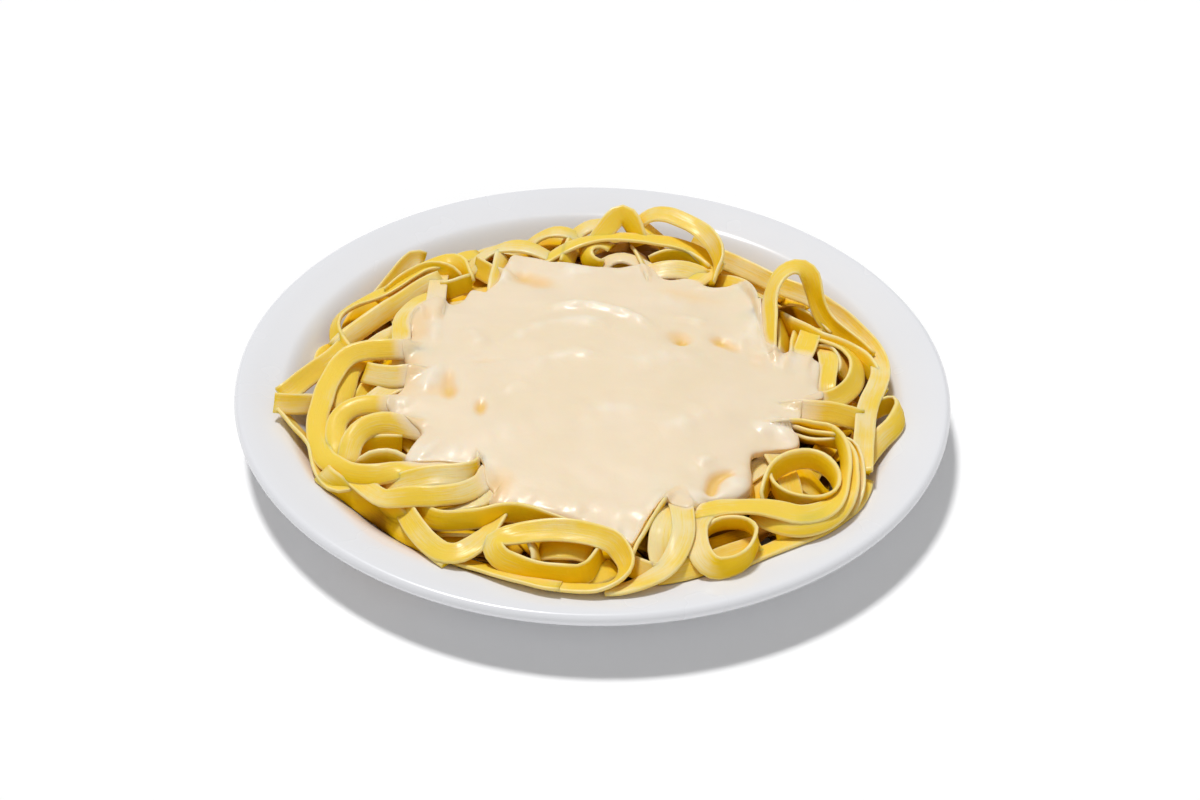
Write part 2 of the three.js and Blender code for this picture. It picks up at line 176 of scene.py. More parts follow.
def turned(profile, segments):
    """Vertices and faces of a profile turned round the upright axis; it starts and ends on the axis."""
    inner = profile[1:-1]
    angles = np.arange(segments) / segments * 2 * math.pi
    rings = np.stack(
        [
            np.column_stack((inner[:, 0] * math.cos(a), inner[:, 0] * math.sin(a), inner[:, 1]))
            for a in angles
        ]
    )
    count = len(inner)
    vertices = np.vstack((rings.reshape(-1, 3), [(0, 0, profile[0][1]), (0, 0, profile[-1][1])]))
    faces = []
    for k in range(segments):
        here, there = k * count, (k + 1) % segments * count
        faces += [(here + i, there + i, there + i + 1, here + i + 1) for i in range(count - 1)]
        faces.append((segments * count, there, here))
        faces.append((segments * count + 1, here + count - 1, there + count - 1))
    return vertices, faces


def set_attribute(piece, name, values):
    """Keeps numbers or vectors at the points of a piece for its material."""
    values = np.asarray(values, np.float32)
    kind, key = ("FLOAT", "value") if values.ndim == 1 else ("FLOAT_VECTOR", "vector")
    piece.data.attributes.new(name, kind, "POINT").data.foreach_set(key, values.ravel())


def nearness(x, y, middle_x, middle_y, length, width, heading):
    """How near each place is to the middle of an oval, from 0 to 1."""
    turn = math.radians(heading)
    ahead = (x - middle_x) * math.cos(turn) + (y - middle_y) * math.sin(turn)
    aside = (y - middle_y) * math.cos(turn) - (x - middle_x) * math.sin(turn)
    return np.exp(-0.5 * ((ahead / length) ** 2 + (aside / width) ** 2))


class Value:
    """A shader socket on which Python's operators put Math nodes."""

    def __init__(self, socket):
        self.socket = socket

    def math(self, operation, *terms):
        tree = self.socket.id_data
        node = tree.nodes.new("ShaderNodeMath")
        node.operation = operation
        for entry, term in zip(node.inputs, terms):
            feed(entry, term)
        return Value(node.outputs[0])

    def __add__(self, other):
        return self.math("ADD", self, other)

    def __sub__(self, other):
        return self.math("SUBTRACT", self, other)

    def __rsub__(self, other):
        return self.math("SUBTRACT", other, self)

    def __mul__(self, other):
        return self.math("MULTIPLY", self, other)

    __radd__ = __add__
    __rmul__ = __mul__


def feed(entry, value):
    """Gives a node's input a link, a number, a vector or a colour."""
    if isinstance(value, Value):
        entry.id_data.links.new(value.socket, entry)
    elif isinstance(value, tuple) and len(value) == 3 and entry.type == "RGBA":
        entry.default_value = (*value, 1)
    else:
        entry.default_value = value


class Finish:
    """A material while its nodes are put together."""

    def __init__(self, name):
        self.material = bpy.data.materials.new(name)
        self.material.use_nodes = True
        self.tree = self.material.node_tree
        self.tree.nodes.clear()

    def node(self, kind, settings, sockets):
        """Adds a node and returns its outputs by name."""
        node = self.tree.nodes.new("ShaderNode" + kind)
        for key, value in settings.items():
            setattr(node, key, value)
        entries = {entry.name: entry for entry in reversed(node.inputs) if entry.enabled}
        for key, value in sockets.items():
            feed(entries[key], value)
        return {output.name: Value(output) for output in reversed(node.outputs) if output.enabled}

    def place(self):
        """Where a point is on the piece, in metres."""
        return self.node("TexCoord", {}, {})["Object"]

    def attribute(self, name, output="Fac"):
        """What set_attribute kept at the points under that name."""
        return self.node("Attribute", {"attribute_name": name}, {})[output]

    def upward(self):
        """How far the surface faces up: 1 when level, 0 when upright."""
        normal = self.node("NewGeometry", {}, {})["Normal"]
        return self.node("SeparateXYZ", {}, {"Vector": normal})["Z"]

    def mix(self, factor, low, high):
        """A colour between two others."""
        settings = {"data_type": "RGBA", "clamp_factor": True}
        return self.node("Mix", settings, {"Factor": factor, "A": low, "B": high})["Result"]

    def noise(self, place, scale, detail=2.0, roughness=0.5):
        """Soft cloudy noise, mostly between 0.3 and 0.7."""
        sockets = {"Vector": place, "Scale": scale, "Detail": detail, "Roughness": roughness}
        return self.node("TexNoise", {}, sockets)["Fac"]

    def ramp(self, value, low, high, start=0.0, end=1.0):
        """Value taken smoothly from start at low to end at high."""
        settings = {"interpolation_type": "SMOOTHSTEP"}
        sockets = {"Value": value, "From Min": low, "From Max": high, "To Min": start, "To Max": end}
        return self.node("MapRange", settings, sockets)["Result"]

    def bump(self, height, strength, depth):
        """The surface's direction with fine relief on it, up to so many millimetres deep."""
        sockets = {"Height": height, "Strength": strength, "Distance": depth * MM}
        return self.node("Bump", {}, sockets)["Normal"]

    def close(self, sockets):
        """Ends the material with a Principled shader."""
        shader = self.node("BsdfPrincipled", {}, sockets)["BSDF"]
        output = self.tree.nodes.new("ShaderNodeOutputMaterial")
        feed(output.inputs["Surface"], shader)
        return self.material


def glaze():
    """Glossy white glaze, slightly uneven, with a faint film of sauce beside the heap."""
    finish = Finish("white_glaze")
    place = finish.place()
    cloud = finish.noise(place, 9, 2)
    pool = finish.noise(place, 45, 2)
    colour = finish.mix(finish.ramp(cloud, 0.35, 0.7), GLAZE_COLOUR, GLAZE_PALE)
    smear = finish.attribute("smear") + (pool - 0.5) * 0.8
    colour = finish.mix(finish.ramp(smear, 0.2, 0.9) * 0.6, colour, SMEAR_COLOUR)
    return finish.close(
        {
            "Base Color": colour,
            "Roughness": finish.ramp(pool, 0.3, 0.7, 0.2, 0.28),
            "Normal": finish.bump(pool * 0.6 + cloud, 0.05, 0.4),
            "IOR": 1.5,
            "Coat Weight": 0.15,
            "Coat Roughness": 0.08,
        }
    )


plate_points, plate_faces = turned(plate_profile(), PLATE_SEGMENTS)
plate = new_piece("plate_body", plate_points, plate_faces, glaze())
set_attribute(plate, "smear", sum(nearness(*plate_points[:, :2].T, *smear) for smear in SMEARS))
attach(plate, "root")
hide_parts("plate")


# ---------------------------------------------------------------------------
# Fettuccine
# Flat egg noodles about 8 mm wide and 2 mm thick, cooked soft, cut square at
# their ends and dropped loose on the plate, so that they lie in arcs and curls.

NOODLE_WIDTH = 7.9
NOODLE_THICKNESS = 1.6
NOODLE_STEP = 2.4
PALE_PASTA = (0.86, 0.705, 0.35)
FULL_PASTA = (0.875, 0.615, 0.075)
PASTA_PAINTED_SIDE_SHADE = (0.95, 0.61, 0.006)
PASTA_PAINTED_SHADE = (0.93, 0.54, 0.0)
PASTA_PAINTED_DARK_SHADE = (0.30, 0.12, 0.0)
EDGE_PALE_AND_HIGHLIGHT = (0.94, 0.80, 0.46)
THIN_CREAM = (0.89, 0.68, 0.32)
CREAM_COLOUR = (0.86, 0.70, 0.47)

# Routes of the noodles that lie on top, clockwise from the left of the plate. A way-point is
# its column and row in the picture, its height in millimetres, and its roll in degrees: 0 lies
# flat, 90 stands on edge, and a positive roll raises the side on the right of the direction
# in which the route runs.
NOODLES = {
    "left_sweep": [
        (402, 349, 33, 35), (385, 349, 33.5, 38), (368, 350, 33, 38), (352, 354, 32, 32),
        (341, 363, 31, 18), (333, 375, 30, 5), (327, 388, 29, 0), (322, 402, 28, 0),
        (318, 418, 27, -5), (317, 432, 26, -8), (319, 446, 25.5, -15), (325, 458, 25.5, -28),
        (337, 467, 26, -40), (351, 472.5, 26.5, -48), (365, 474.5, 27, -50), (380, 474, 27.8, -42),
        (395, 471.5, 28.5, -22), (410, 469, 29, 0), (425, 467, 29.3, 18), (440, 466, 29.3, 25),
        (454, 466, 28.5, 28),
    ],
    "left_flap": [
        (346, 347, 22, 22), (331, 360, 23.5, 26), (316, 371.5, 25, 28), (302, 382, 26, 28),
        (290, 390.5, 26.2, 24), (282, 396, 25.8, 15),
    ],
    "left_flap_fold": [
        (275, 403, 27, -50), (286, 403.5, 27, -50), (298, 404, 26.5, -50), (312, 404.5, 25.5, -50),
        (324, 406, 24, -46),
    ],
    "left_under": [
        (281, 413, 23.6, 50), (288, 421, 23, 52), (296, 429.5, 22.6, 52), (305, 440, 22.2, 52),
        (312, 450, 22, 52), (316, 461, 21.5, 48), (320, 472, 21, 38), (327, 481, 21, 20),
        (338, 486, 21.5, 5), (348, 484, 22, -5), (357, 479, 22, -12),
    ],
    "left_outer": [
        (347, 354, 20, 60), (339, 343, 20.5, 60), (335, 330, 21.5, 58), (340, 318, 22.3, 48),
        (352, 308, 23.2, 34), (367, 301, 24, 25), (383, 294, 25, 22), (398, 286, 26.5, 22),
        (411, 277, 28, 22), (424, 269, 29.5, 15), (438, 263.5, 31, 0), (451, 262, 31.5, -20),
        (461, 266, 31, -50), (467, 275, 30, -75), (471, 285, 28, -85),
    ],
    "left_wide": [
        (336, 349, 20, -30), (347, 338, 22, -36), (361, 328, 23.5, -40), (375, 318.5, 25, -42),
        (389, 309, 26.5, -42), (403, 300, 28, -42), (417, 291, 29, -40), (430, 284, 30, -35),
        (442, 279, 30.5, -25),
    ],
    "left_middle": [
        (388, 296, 24, -50), (402, 284, 26, -55), (415, 276, 28, -58), (428, 271, 29.5, -60),
        (441, 271, 30, -65), (452, 275, 29, -70), (459, 283, 27, -75),
    ],
    "left_inner": [
        (434, 297, 31, -10), (421, 301, 32, -12), (410, 308, 32, -15), (403, 318, 32, -12),
        (401, 330, 32, -8), (402, 343, 31.5, -5),
    ],
    "left_coated": [
        (439, 277, 28.5, 0), (438, 285, 31, 0), (437, 295, 32.8, 0), (435.5, 308, 33.3, 0),
        (434, 322, 32, 0), (433, 334, 29.5, 0),
    ],
    "left_face": [(443, 291, 29, -80), (452, 289, 30, -80), (461, 286, 30, -80), (471, 283, 30, -80)],
    "left_ring_side": [
        (366, 357, 26, 15), (356, 363, 27, 18), (350, 374, 27.5, 20), (347, 387, 27, 20),
        (343, 400, 26, 18), (337, 412, 24.5, 15),
    ],
    "left_stub": [
        (366, 373, 28.5, -42), (380, 375.5, 30, -45), (395, 376.5, 31, -42), (410, 375, 31.5, -35),
    ],
    "left_hook": [
        (409, 383, 27.5, -5), (398, 386, 27.3, 0), (388, 390.5, 27, 5), (378, 397, 26.3, 10),
        (369, 405, 25, 10),
    ],
    "left_arch": [
        (392, 404, 30, 30), (378, 404, 31, 32), (362, 405, 31, 30), (348, 410, 30, 20),
        (339, 420, 29, 8), (336, 434, 27.5, 0), (338, 448, 26, -3), (342, 460, 24, -5),
    ],
    "left_arch_low": [
        (418, 429, 28, 35), (404, 426, 29, 40), (390, 423, 30, 42), (375, 424.5, 30, 40),
        (362, 430.5, 29.5, 30), (353, 441, 28, 15), (349, 453, 26, 5), (347, 465, 24, 0),
    ],
    "left_inner_face": [
        (350, 458, 21, -75), (360, 450, 22.5, -75), (372, 445, 23.5, -75), (386, 443, 24, -75),
        (402, 444, 24, -75),
    ],
    "left_small_loop": [
        (364, 470, 22, 100), (370, 463, 24.5, 100), (380, 460, 25.5, 100), (392, 460, 25.5, 100),
        (402, 465, 24.5, 100),
    ],
    "hairpin_upper": [
        (384, 491, 22, -25), (394, 486, 25, -28), (405, 482, 27.5, -28), (418, 479, 29, -28),
        (432, 476.5, 30, -28), (446, 475.5, 30.5, -30), (460, 475, 30.5, -34), (470, 473.5, 30.5, -50),
        (476, 470, 30, -75), (478.5, 465, 28.5, -88), (476, 459, 26.5, -88),
    ],
    "hairpin_lower": [
        (352, 478, 22, 5), (362, 486, 23.5, -5), (372, 493, 25, -15), (385, 498, 27, -28),
        (400, 497.5, 28.5, -36), (415, 496, 29.5, -38), (430, 496, 30, -38), (445, 495.5, 30.2, -38),
        (460, 493, 30.5, -36), (472, 488.5, 30.5, -32), (482, 482, 30.2, -25), (488, 474, 29.5, -15),
    ],
    "bowl_left": [
        (388, 482, 18.5, -45), (396, 495, 21, -45), (404, 507, 22.8, -45), (411, 520, 23.8, -42),
        (420, 533, 24, -36), (431, 545, 24, -27), (444, 553, 24.2, -22), (458, 553, 25, -18),
        (471, 547, 25.9, -8), (482, 538, 26.6, 8), (492, 528, 26.8, 26), (500, 519, 26.2, 42),
        (506, 512, 25, 50),
    ],
    "hairpin_tail": [
        (440, 512, 22.5, 30), (452, 509, 24, 32), (464, 506, 25.5, 30), (474, 502, 27, 20),
        (482, 497, 28, 5), (488, 489, 28.5, -10),
    ],
    "bowl_back": [
        (412, 508, 22, -64), (424, 515, 23.5, -66), (438, 520, 25, -68), (453, 521, 26.5, -70),
        (468, 520, 27.6, -72), (483, 517, 28.3, -75), (498, 513, 29, -78), (513, 512, 29.2, -80),
        (530, 515.5, 28.8, -80), (548, 521, 28, -80), (566, 527, 27, -80), (582, 533, 25.8, -80),
    ],
    "bowl_outer": [
        (366, 484, 22, -50), (376, 497, 22, -66), (388, 508, 21.5, -74), (400, 518, 20.8, -76),
        (410, 527, 19.6, -72), (418, 535, 18.3, -60),
    ],
    "bowl_low": [
        (350, 497, 15.5, -66), (364, 508, 15, -72), (380, 519, 15.2, -74), (396, 530, 15.6, -70),
        (410, 539, 16.2, -60),
    ],
    "front_outer_left": [
        (322, 483, 18.8, -45), (332, 493, 17.6, -62), (346, 500, 16, -68), (360, 508, 15.5, -68),
        (375, 518, 15, -68), (390, 528, 15, -64), (405, 539, 15.5, -58), (420, 550, 16.2, -48),
        (435, 560, 18, -25), (450, 566, 19.8, 5),
    ],
    "front_thin": [
        (448, 556, 18.8, 15), (458, 561, 19.8, 20), (470, 565, 20.6, 22), (485, 569.5, 21.4, 23),
        (500, 574, 21.9, 24), (515, 578.5, 22.4, 24), (530, 582.5, 22.8, 24), (545, 585.5, 23.1, 24),
        (561, 587.5, 23.2, 24),
    ],
    "front_loop": [
        (600, 553, 24, 78), (595, 563, 24, 78), (587, 571, 24, 76), (575, 575.5, 24, 75),
        (556, 574.5, 24, 75), (536, 571, 24, 74), (516, 565, 24.5, 68), (502, 558.5, 25.5, 58),
        (494, 550, 27, 40), (494, 542, 28, 15), (502, 537.5, 28.5, -8), (515, 535, 29, -18),
        (532, 532.5, 29.5, -24), (555, 531, 30, -26), (580, 533, 30, -27), (600, 537, 29.5, -30),
        (614, 543, 28.5, -40), (623, 552, 27, -50), (627.5, 563, 26, -52), (625, 575, 25, -46),
        (615, 584, 24, -38), (600, 588.5, 23, -30), (582, 590.5, 22.3, -26), (565, 590.5, 21.3, -22),
        (548, 588.5, 20.4, -20),
    ],
    "loop_tie": [(533, 543, 24.5, 60), (536, 550, 24, 62), (537.5, 558, 22.5, 65), (538, 566, 21, 65)],
    "loop_band": [
        (540, 552, 22, -10), (552, 550, 23.5, -16), (565, 549, 24.2, -18), (579, 550, 24, -18),
        (591, 554, 23, -14),
    ],
    "loop_floor": [
        (545, 571, 18, -18), (562, 576, 18.8, -20), (580, 578, 19.6, -20), (598, 575, 20.2, -20),
        (615, 567, 20.5, -20),
    ],
    "tongue_edge": [
        (664, 503, 29, -60), (657, 512, 28.5, -60), (649, 524, 28, -60), (641, 537, 27, -60),
        (634, 549, 26, -60), (629, 559, 24.5, -60),
    ],
    "front_bulge": [
        (670, 507, 28, 0), (665.5, 517, 29.5, -5), (661.5, 530, 29, -8), (660, 542, 27.3, -10),
        (660.5, 554, 25, -10), (664, 565, 23, -8), (671, 574, 21, 0),
    ],
    "front_right_sweep": [
        (678, 498, 30, -10), (682, 508, 31, -8), (684, 520, 31, -5), (683, 533, 30, 0),
        (679, 547, 28.5, 3), (672, 560, 27, 3), (661, 571, 25.5, -3), (647, 579, 24.3, -12),
        (632, 584.5, 23.3, -18), (617, 588, 22.5, -20), (605, 590.5, 21.5, -20),
    ],
    "front_under": [
        (622, 562, 21, -40), (637, 568, 21.5, -45), (650, 573, 21, -45), (662, 577, 20.5, -40),
    ],
    "front_right_low": [
        (655, 581, 20.5, -30), (670, 577, 21.5, -35), (685, 573, 22, -38), (700, 568, 21.5, -38),
        (714, 562, 20, -35),
    ],
    "small_ring": [
        (718, 511, 26.5, -20), (705, 515, 28, -15), (697, 526, 28.5, -14), (696, 538, 28, -14),
        (699, 551, 27, -18), (706, 562, 26, -40), (716, 567.5, 25.5, -68), (730, 566, 25.5, -80),
        (744, 558, 26, -84), (753, 546, 26.5, -84), (754.5, 533, 27, -82), (746, 525, 27, -78),
        (731, 523, 26.5, -75), (716, 526, 25.5, -72), (706, 534, 24, -70),
    ],
    "ring_floor": [
        (704, 566, 19, -15), (716, 560, 19.5, -15), (730, 554.5, 20, -15), (745, 549, 20.5, -15),
        (760, 544, 21, -15),
    ],
    "ring_floor_back": [
        (706, 551, 18, -20), (720, 546, 18.5, -20), (736, 541, 19, -20), (752, 537, 19.5, -20),
    ],
    "right_long_band": [
        (688, 515, 28, -8), (696, 513, 29, -6), (708, 510, 29.5, -4), (722, 507.5, 30, -3),
        (740, 506.5, 30, -2), (760, 507, 29.5, -3), (780, 511, 29, -8), (800, 514.5, 28.5, -14),
        (817, 513, 28, -12), (830, 506, 28, 5), (838, 495, 28, 30), (842, 482, 28.5, 52),
        (844, 468, 29, 64), (843, 454, 29.5, 72), (838, 441, 30, 84), (829, 432, 30, 104),
        (815, 428, 30, 120), (800, 425, 30, 126), (786, 424, 30, 128),
    ],
    "right_parallel": [
        (757, 512, 25, -20), (768, 520, 25.5, -28), (782, 525, 26, -32), (800, 526.5, 26.5, -34),
        (818, 523.5, 26.5, -32), (833, 515, 26.5, -25), (843, 503, 27, 0), (849, 489, 27.5, 32),
        (851, 474, 28, 55), (850, 460, 28.5, 68), (846, 448, 28.7, 84), (838, 440, 28.7, 104),
        (825, 436, 28.7, 118), (810, 432.5, 28.7, 125), (796, 429, 28.5, 128), (784, 426, 28, 128),
    ],
    "right_third": [
        (776, 541, 20.5, -65), (790, 538, 21, -65), (806, 534, 21.5, -62), (823, 527.5, 22, -55),
        (838, 518, 22.5, -40), (849, 505, 23.5, -10), (856, 490, 25, 20), (858, 475, 26, 42),
        (857, 460, 27, 58), (853, 449, 27.8, 78), (843, 443, 27.5, 102), (828, 441.5, 27, 120),
        (812, 440, 26.5, 126), (798, 437, 26, 128),
    ],
    "right_edge_low": [
        (735, 567, 20.5, 12), (757, 556, 20.5, 12), (780, 546.5, 20.5, 12), (800, 539.5, 20.8, 12),
        (818, 531, 21.3, 12), (835, 520, 21.5, 8), (849, 507, 22, 0), (858, 494, 22.5, -5),
        (863, 480, 23, 0),
    ],
    "right_ring": [
        (764, 508, 22, -80), (763, 500, 25, -80), (765, 488, 27, -80), (771, 476, 28, -80),
        (781, 466, 29, -80), (794, 460.5, 29.5, -80), (808, 459, 29.5, -80), (821, 463, 29.5, -80),
        (831, 472, 29, -80), (836, 484, 28, -80), (833, 494, 27, -80), (822, 500.5, 26.5, -80),
        (806, 502.5, 26.5, -80), (790, 499, 26.5, -80), (777, 491, 26.5, -80), (772, 482, 26, -80),
    ],
    "right_radial": [
        (795, 410, 30, -40), (812, 411, 30.5, -44), (830, 413, 30, -46), (845, 416, 29, -48),
        (862, 421, 27, -48),
    ],
    "right_outer": [
        (690, 246, 26, -35), (706, 252, 26.5, -38), (722, 259, 26, -40), (740, 267, 25, -42),
        (760, 276, 24.5, -42), (778, 285, 24, -42), (795, 291, 23.5, -42), (812, 298, 23, -42),
        (828, 309, 22.5, -42), (843, 320, 22.5, -42), (858, 333, 23, -40), (870, 346, 24, -34),
        (879, 360, 25.5, -24), (881, 374, 27, -10), (876, 388, 28, 2), (870, 402, 28.5, 8),
        (866, 417, 28.5, 10), (864, 432, 28.5, 8), (863, 447, 28, 5), (863, 460, 27.5, 5),
        (863, 472, 27, 5),
    ],
    "right_outer_low": [
        (764, 315, 25, -80), (778, 321, 26, -80), (792, 328, 26.5, -80), (806, 334, 27, -80),
        (820, 342, 27, -78), (836, 347, 26.5, -75), (852, 354, 25.5, -72), (864, 362, 25, -70),
        (873, 372, 24, -68), (878, 384, 23, -65), (882, 396, 22, -60),
    ],
    "right_edge_loop": [
        (866, 414, 23, 100), (875, 409, 24, 100), (884, 405, 24.5, 98), (893, 403.5, 25, 92),
        (900, 408, 25.5, 75), (900, 417, 25.3, 55), (893, 426.5, 24.5, 42), (883, 436, 24, 36),
        (873, 447, 23.5, 33), (865, 459, 23, 30), (860, 470, 22, 30),
    ],
    "right_hoop": [
        (769, 352, 31, 45), (769, 338, 33, 45), (769.5, 320, 35.5, 45), (770, 303, 38, 42),
        (773, 288, 41, 35), (780, 276, 43.5, 20), (791, 268.5, 44.3, 2), (801, 268, 43.8, -18),
        (809, 275.5, 41.5, -38), (814, 288, 37.5, -52), (818, 301, 33.5, -60), (823, 314, 30, -64),
        (832, 326, 27.5, -66), (845, 337, 26, -64), (859, 348, 25, -60), (870, 360, 24, -55),
    ],
    "right_curl_out": [
        (806, 343, 26, 40), (818, 341, 27, 42), (832, 344, 27.5, 42), (845, 350, 27.5, 42),
        (854, 360, 27, 42), (857, 373, 27, 42), (853, 385, 27, 40), (844, 394, 27, 38),
        (832, 400, 27, 36), (818, 403, 27.5, 30),
    ],
    "right_curl_mid": [
        (810, 349, 24, 42), (822, 348, 25, 42), (834, 351, 25.5, 44), (842, 359, 25.5, 48),
        (845, 369, 25, 52), (842, 379, 24.5, 55),
    ],
    "right_curl_in": [
        (822, 348, 23, 0), (827, 355, 27, 0), (828, 366, 28.5, 0), (827, 378, 28, 0),
        (826, 389, 27, 0), (826, 399, 25, 0),
    ],
    "right_flat": [
        (798, 372, 28.5, 5), (801, 362, 29.5, 5), (805, 350, 29.5, 5), (809, 338, 28.7, 5),
        (811, 329, 27, 0),
    ],
    "right_web_a": [(784, 326, 25, 60), (783.5, 336, 27, 60), (783, 347, 27.8, 60), (782, 358, 28, 60)],
    "right_web_b": [
        (799, 340, 25.5, 55), (796.5, 349, 27.4, 55), (794, 358, 28.2, 55), (791, 367, 28.5, 55),
    ],
    "right_shade": [
        (766, 322, 22, -75), (779, 316, 24, -78), (793, 314, 25, -80), (806, 319, 25, -80),
        (818, 328, 24, -80), (829, 339, 23, -80),
    ],
    "back_hoop": [
        (636, 240, 30, -5), (638, 229, 33.5, -8), (643, 220, 37.5, -10), (654, 214.5, 40.5, -14),
        (667, 215, 41.5, -16), (682, 220, 41.5, -20), (697, 228, 41, -26), (710, 238.5, 40, -38),
        (718, 250, 38, -55), (720, 263, 35.5, -64), (717, 275, 33, -62), (711, 285, 31, -50),
    ],
    "back_peak": [
        (586, 254, 30, 10), (595, 243, 33, -2), (604, 231.5, 36, -18), (612.5, 220.5, 39, -34),
        (621, 215, 40.2, -50), (628, 217.5, 39.5, -58), (633, 225, 37.5, -60), (637, 235, 34.5, -58),
        (640, 246, 31, -50),
    ],
    "back_peak_side": [
        (624, 212, 39, 10), (634, 218, 37.5, 18), (645, 226.5, 35.5, 20), (656, 236, 33.5, 15),
        (666, 246, 31, 8),
    ],
    "back_bridge": [
        (536, 266, 29, 22), (549, 258, 31, 20), (562, 250, 32.5, 18), (577, 243, 34, 18),
        (592, 239.5, 35, 16), (612, 237.5, 35.5, 14), (634, 238.5, 35.5, 12), (656, 241, 35, 12),
        (676, 244.5, 34.5, 10), (693, 251, 33.5, 5), (706, 260, 32, -5), (717, 270, 30.5, -15),
    ],
    "back_small_arch": [
        (526, 252, 24, 22), (533, 243, 27, 20), (543, 235.5, 29.5, 10), (555, 232, 31, 2),
        (567, 233, 31, 5), (577, 238, 29.5, 14), (585, 246, 27, 20),
    ],
    "back_third_arch": [
        (568, 246, 27, 20), (574, 237, 29, 16), (583, 229, 31, 8), (594, 224.5, 32, 2),
        (606, 224, 32, 8), (616, 229, 30.5, 18),
    ],
    "back_tie": [(577, 238, 28, 50), (573, 247, 29.5, 50), (569, 256, 30.5, 50), (566, 266, 30, 50)],
    "back_left_arch": [
        (468, 275, 24, 20), (474, 266, 26, 20), (483, 257.5, 28, 18), (494, 251.5, 29.5, 15),
        (506, 247.5, 31, 8), (518, 246, 32, 2), (531, 248.5, 32, 5), (544, 254, 31, 14),
        (556, 261, 29.5, 20),
    ],
    "back_left_tie": [(504, 256, 28.5, 50), (502, 264, 30, 50), (500, 272, 31, 50), (498, 284, 31, 40)],
    "back_left_inner": [
        (476, 266, 26, -60), (484, 271, 28, -58), (493, 276, 29.5, -55), (503, 280, 30, -50),
    ],
    "back_left_tip": [
        (378, 302, 19, -35), (388, 290, 21, -38), (397, 278, 23.5, -42), (406, 267, 25.5, -45),
        (415, 260, 26.5, -40), (424, 262, 26, -30),
    ],
    "back_ring": [
        (612, 247, 33, -18), (600, 243, 33.8, -18), (590, 246, 33.2, -30), (586, 255, 32, -58),
        (590, 264, 30.5, -75), (602, 269, 29, -80),
    ],
    "back_coated": [
        (598, 273, 28, -10), (604, 266, 30, 0), (611, 260.5, 31.8, 10), (622, 258.5, 32.8, 12),
        (633, 261, 32.3, 10), (643, 266.5, 31.2, 2), (653, 273, 30, -8),
    ],
    "back_shade": [
        (596, 275, 26, -40), (606, 268, 28, -50), (620, 265, 29, -55), (636, 267, 28.5, -50),
        (650, 274, 27, -40),
    ],
    "back_cross": [(636, 252, 29, 50), (642, 260, 30.5, 50), (647, 270, 31, 50), (651, 281, 31, 50)],
    "back_far": [
        (652, 264, 29, -80), (668, 258, 31, -80), (682, 258, 31.5, -80), (696, 264, 31, -80),
        (707, 273, 30, -80),
    ],
    "back_end_a": [
        (648, 274, 31, -20), (662, 270.5, 32.5, -25), (676, 269.5, 33, -25), (690, 272, 32.5, -25),
        (704, 278, 31, -20),
    ],
    "back_end_b": [(690, 286, 31, 0), (699, 279, 32, 0), (708, 271, 31.5, 0), (716, 262, 30, 0)],
    "back_crease": [
        (733, 286, 31, -40), (744, 291, 32, -60), (752, 299, 32.5, -75), (756, 309, 32.5, -80),
    ],
}


# How many millimetres cream reaches along a noodle outside the sauce's edge
PLAIN_COAT = 1.5
COATED = {
    "left_sweep": 5, "left_coated": 26, "left_inner": 2, "left_stub": 5, "left_hook": 5, "left_arch": 5,
    "left_arch_low": 5, "right_web_a": 8, "right_web_b": 7, "right_radial": 10, "right_hoop": 2,
    "right_flat": 5, "right_parallel": 3, "back_coated": 26, "back_end_a": 3, "tongue_edge": 0.8,
    "back_left_inner": 8, "hairpin_upper": 3, "hairpin_lower": 6,
}  # fmt: skip


ROUTE_GRAIN = 0.5


def through(way_points, step):
    """Even points, and their rolls, along a smooth curve through way-points."""
    knots = np.array(way_points, float)
    chords = np.linalg.norm(np.diff(knots[:, :3], axis=0), axis=1)
    at = np.concatenate(([0], np.cumsum(chords)))
    slopes = np.gradient(knots, at, axis=0, edge_order=2 if len(knots) > 2 else 1)
    fine = np.linspace(0, at[-1], max(8, int(at[-1] / ROUTE_GRAIN)))
    span = np.clip(np.searchsorted(at, fine, side="right") - 1, 0, len(chords) - 1)
    length = chords[span][:, None]
    t = (fine - at[span])[:, None] / length
    curve = (
        (2 * t**3 - 3 * t**2 + 1) * knots[span]
        + (t**3 - 2 * t**2 + t) * length * slopes[span]
        + (3 * t**2 - 2 * t**3) * knots[span + 1]
        + (t**3 - t**2) * length * slopes[span + 1]
    )
    run = np.concatenate(([0], np.cumsum(np.linalg.norm(np.diff(curve[:, :3], axis=0), axis=1))))
    even = np.linspace(0, run[-1], max(3, int(round(run[-1] / step)) + 1))
    points = np.column_stack([np.interp(even, run, curve[:, axis]) for axis in range(4)])
    return points[:, :3], np.radians(points[:, 3])


def unit(vectors):
    """Vectors brought to a length of 1."""
    return vectors / np.linalg.norm(vectors, axis=-1, keepdims=True)


plate_slope = np.vstack(
    (
        [(0, WELL_HEIGHT)],
        plate_wall()[::-1],
        [(RIM_INNER_RADIUS, RIM_INNER_HEIGHT), (PLATE_RADIUS, RIM_HEIGHT)],
    )
)


def plate_height(x, y):
    """Height of the plate's upper face."""
    return np.interp(np.hypot(x, y), plate_slope[:, 0], plate_slope[:, 1])


# The section of a noodle, across and up, as shares of half its width and half its thickness
FACE = np.array([-0.93, -0.72, -0.36, 0.0, 0.36, 0.72, 0.93])
SECTION = np.vstack(
    (
        np.column_stack((FACE, [0.86, 1, 1, 1, 1, 1, 0.86])),
        [(1, 0.35), (1, -0.35)],
        np.column_stack((FACE[::-1], [-0.86, -1, -1, -1, -1, -1, -0.86])),
        [(-1, -0.35), (-1, 0.35)],
    )
)
# The same with fewer points across its faces, for buried noodles
PLAIN_SECTION = SECTION[[0, 1, 3, 5, 6, 7, 8, 9, 10, 12, 14, 15, 16, 17]]
PLATE_GAP = 0.35


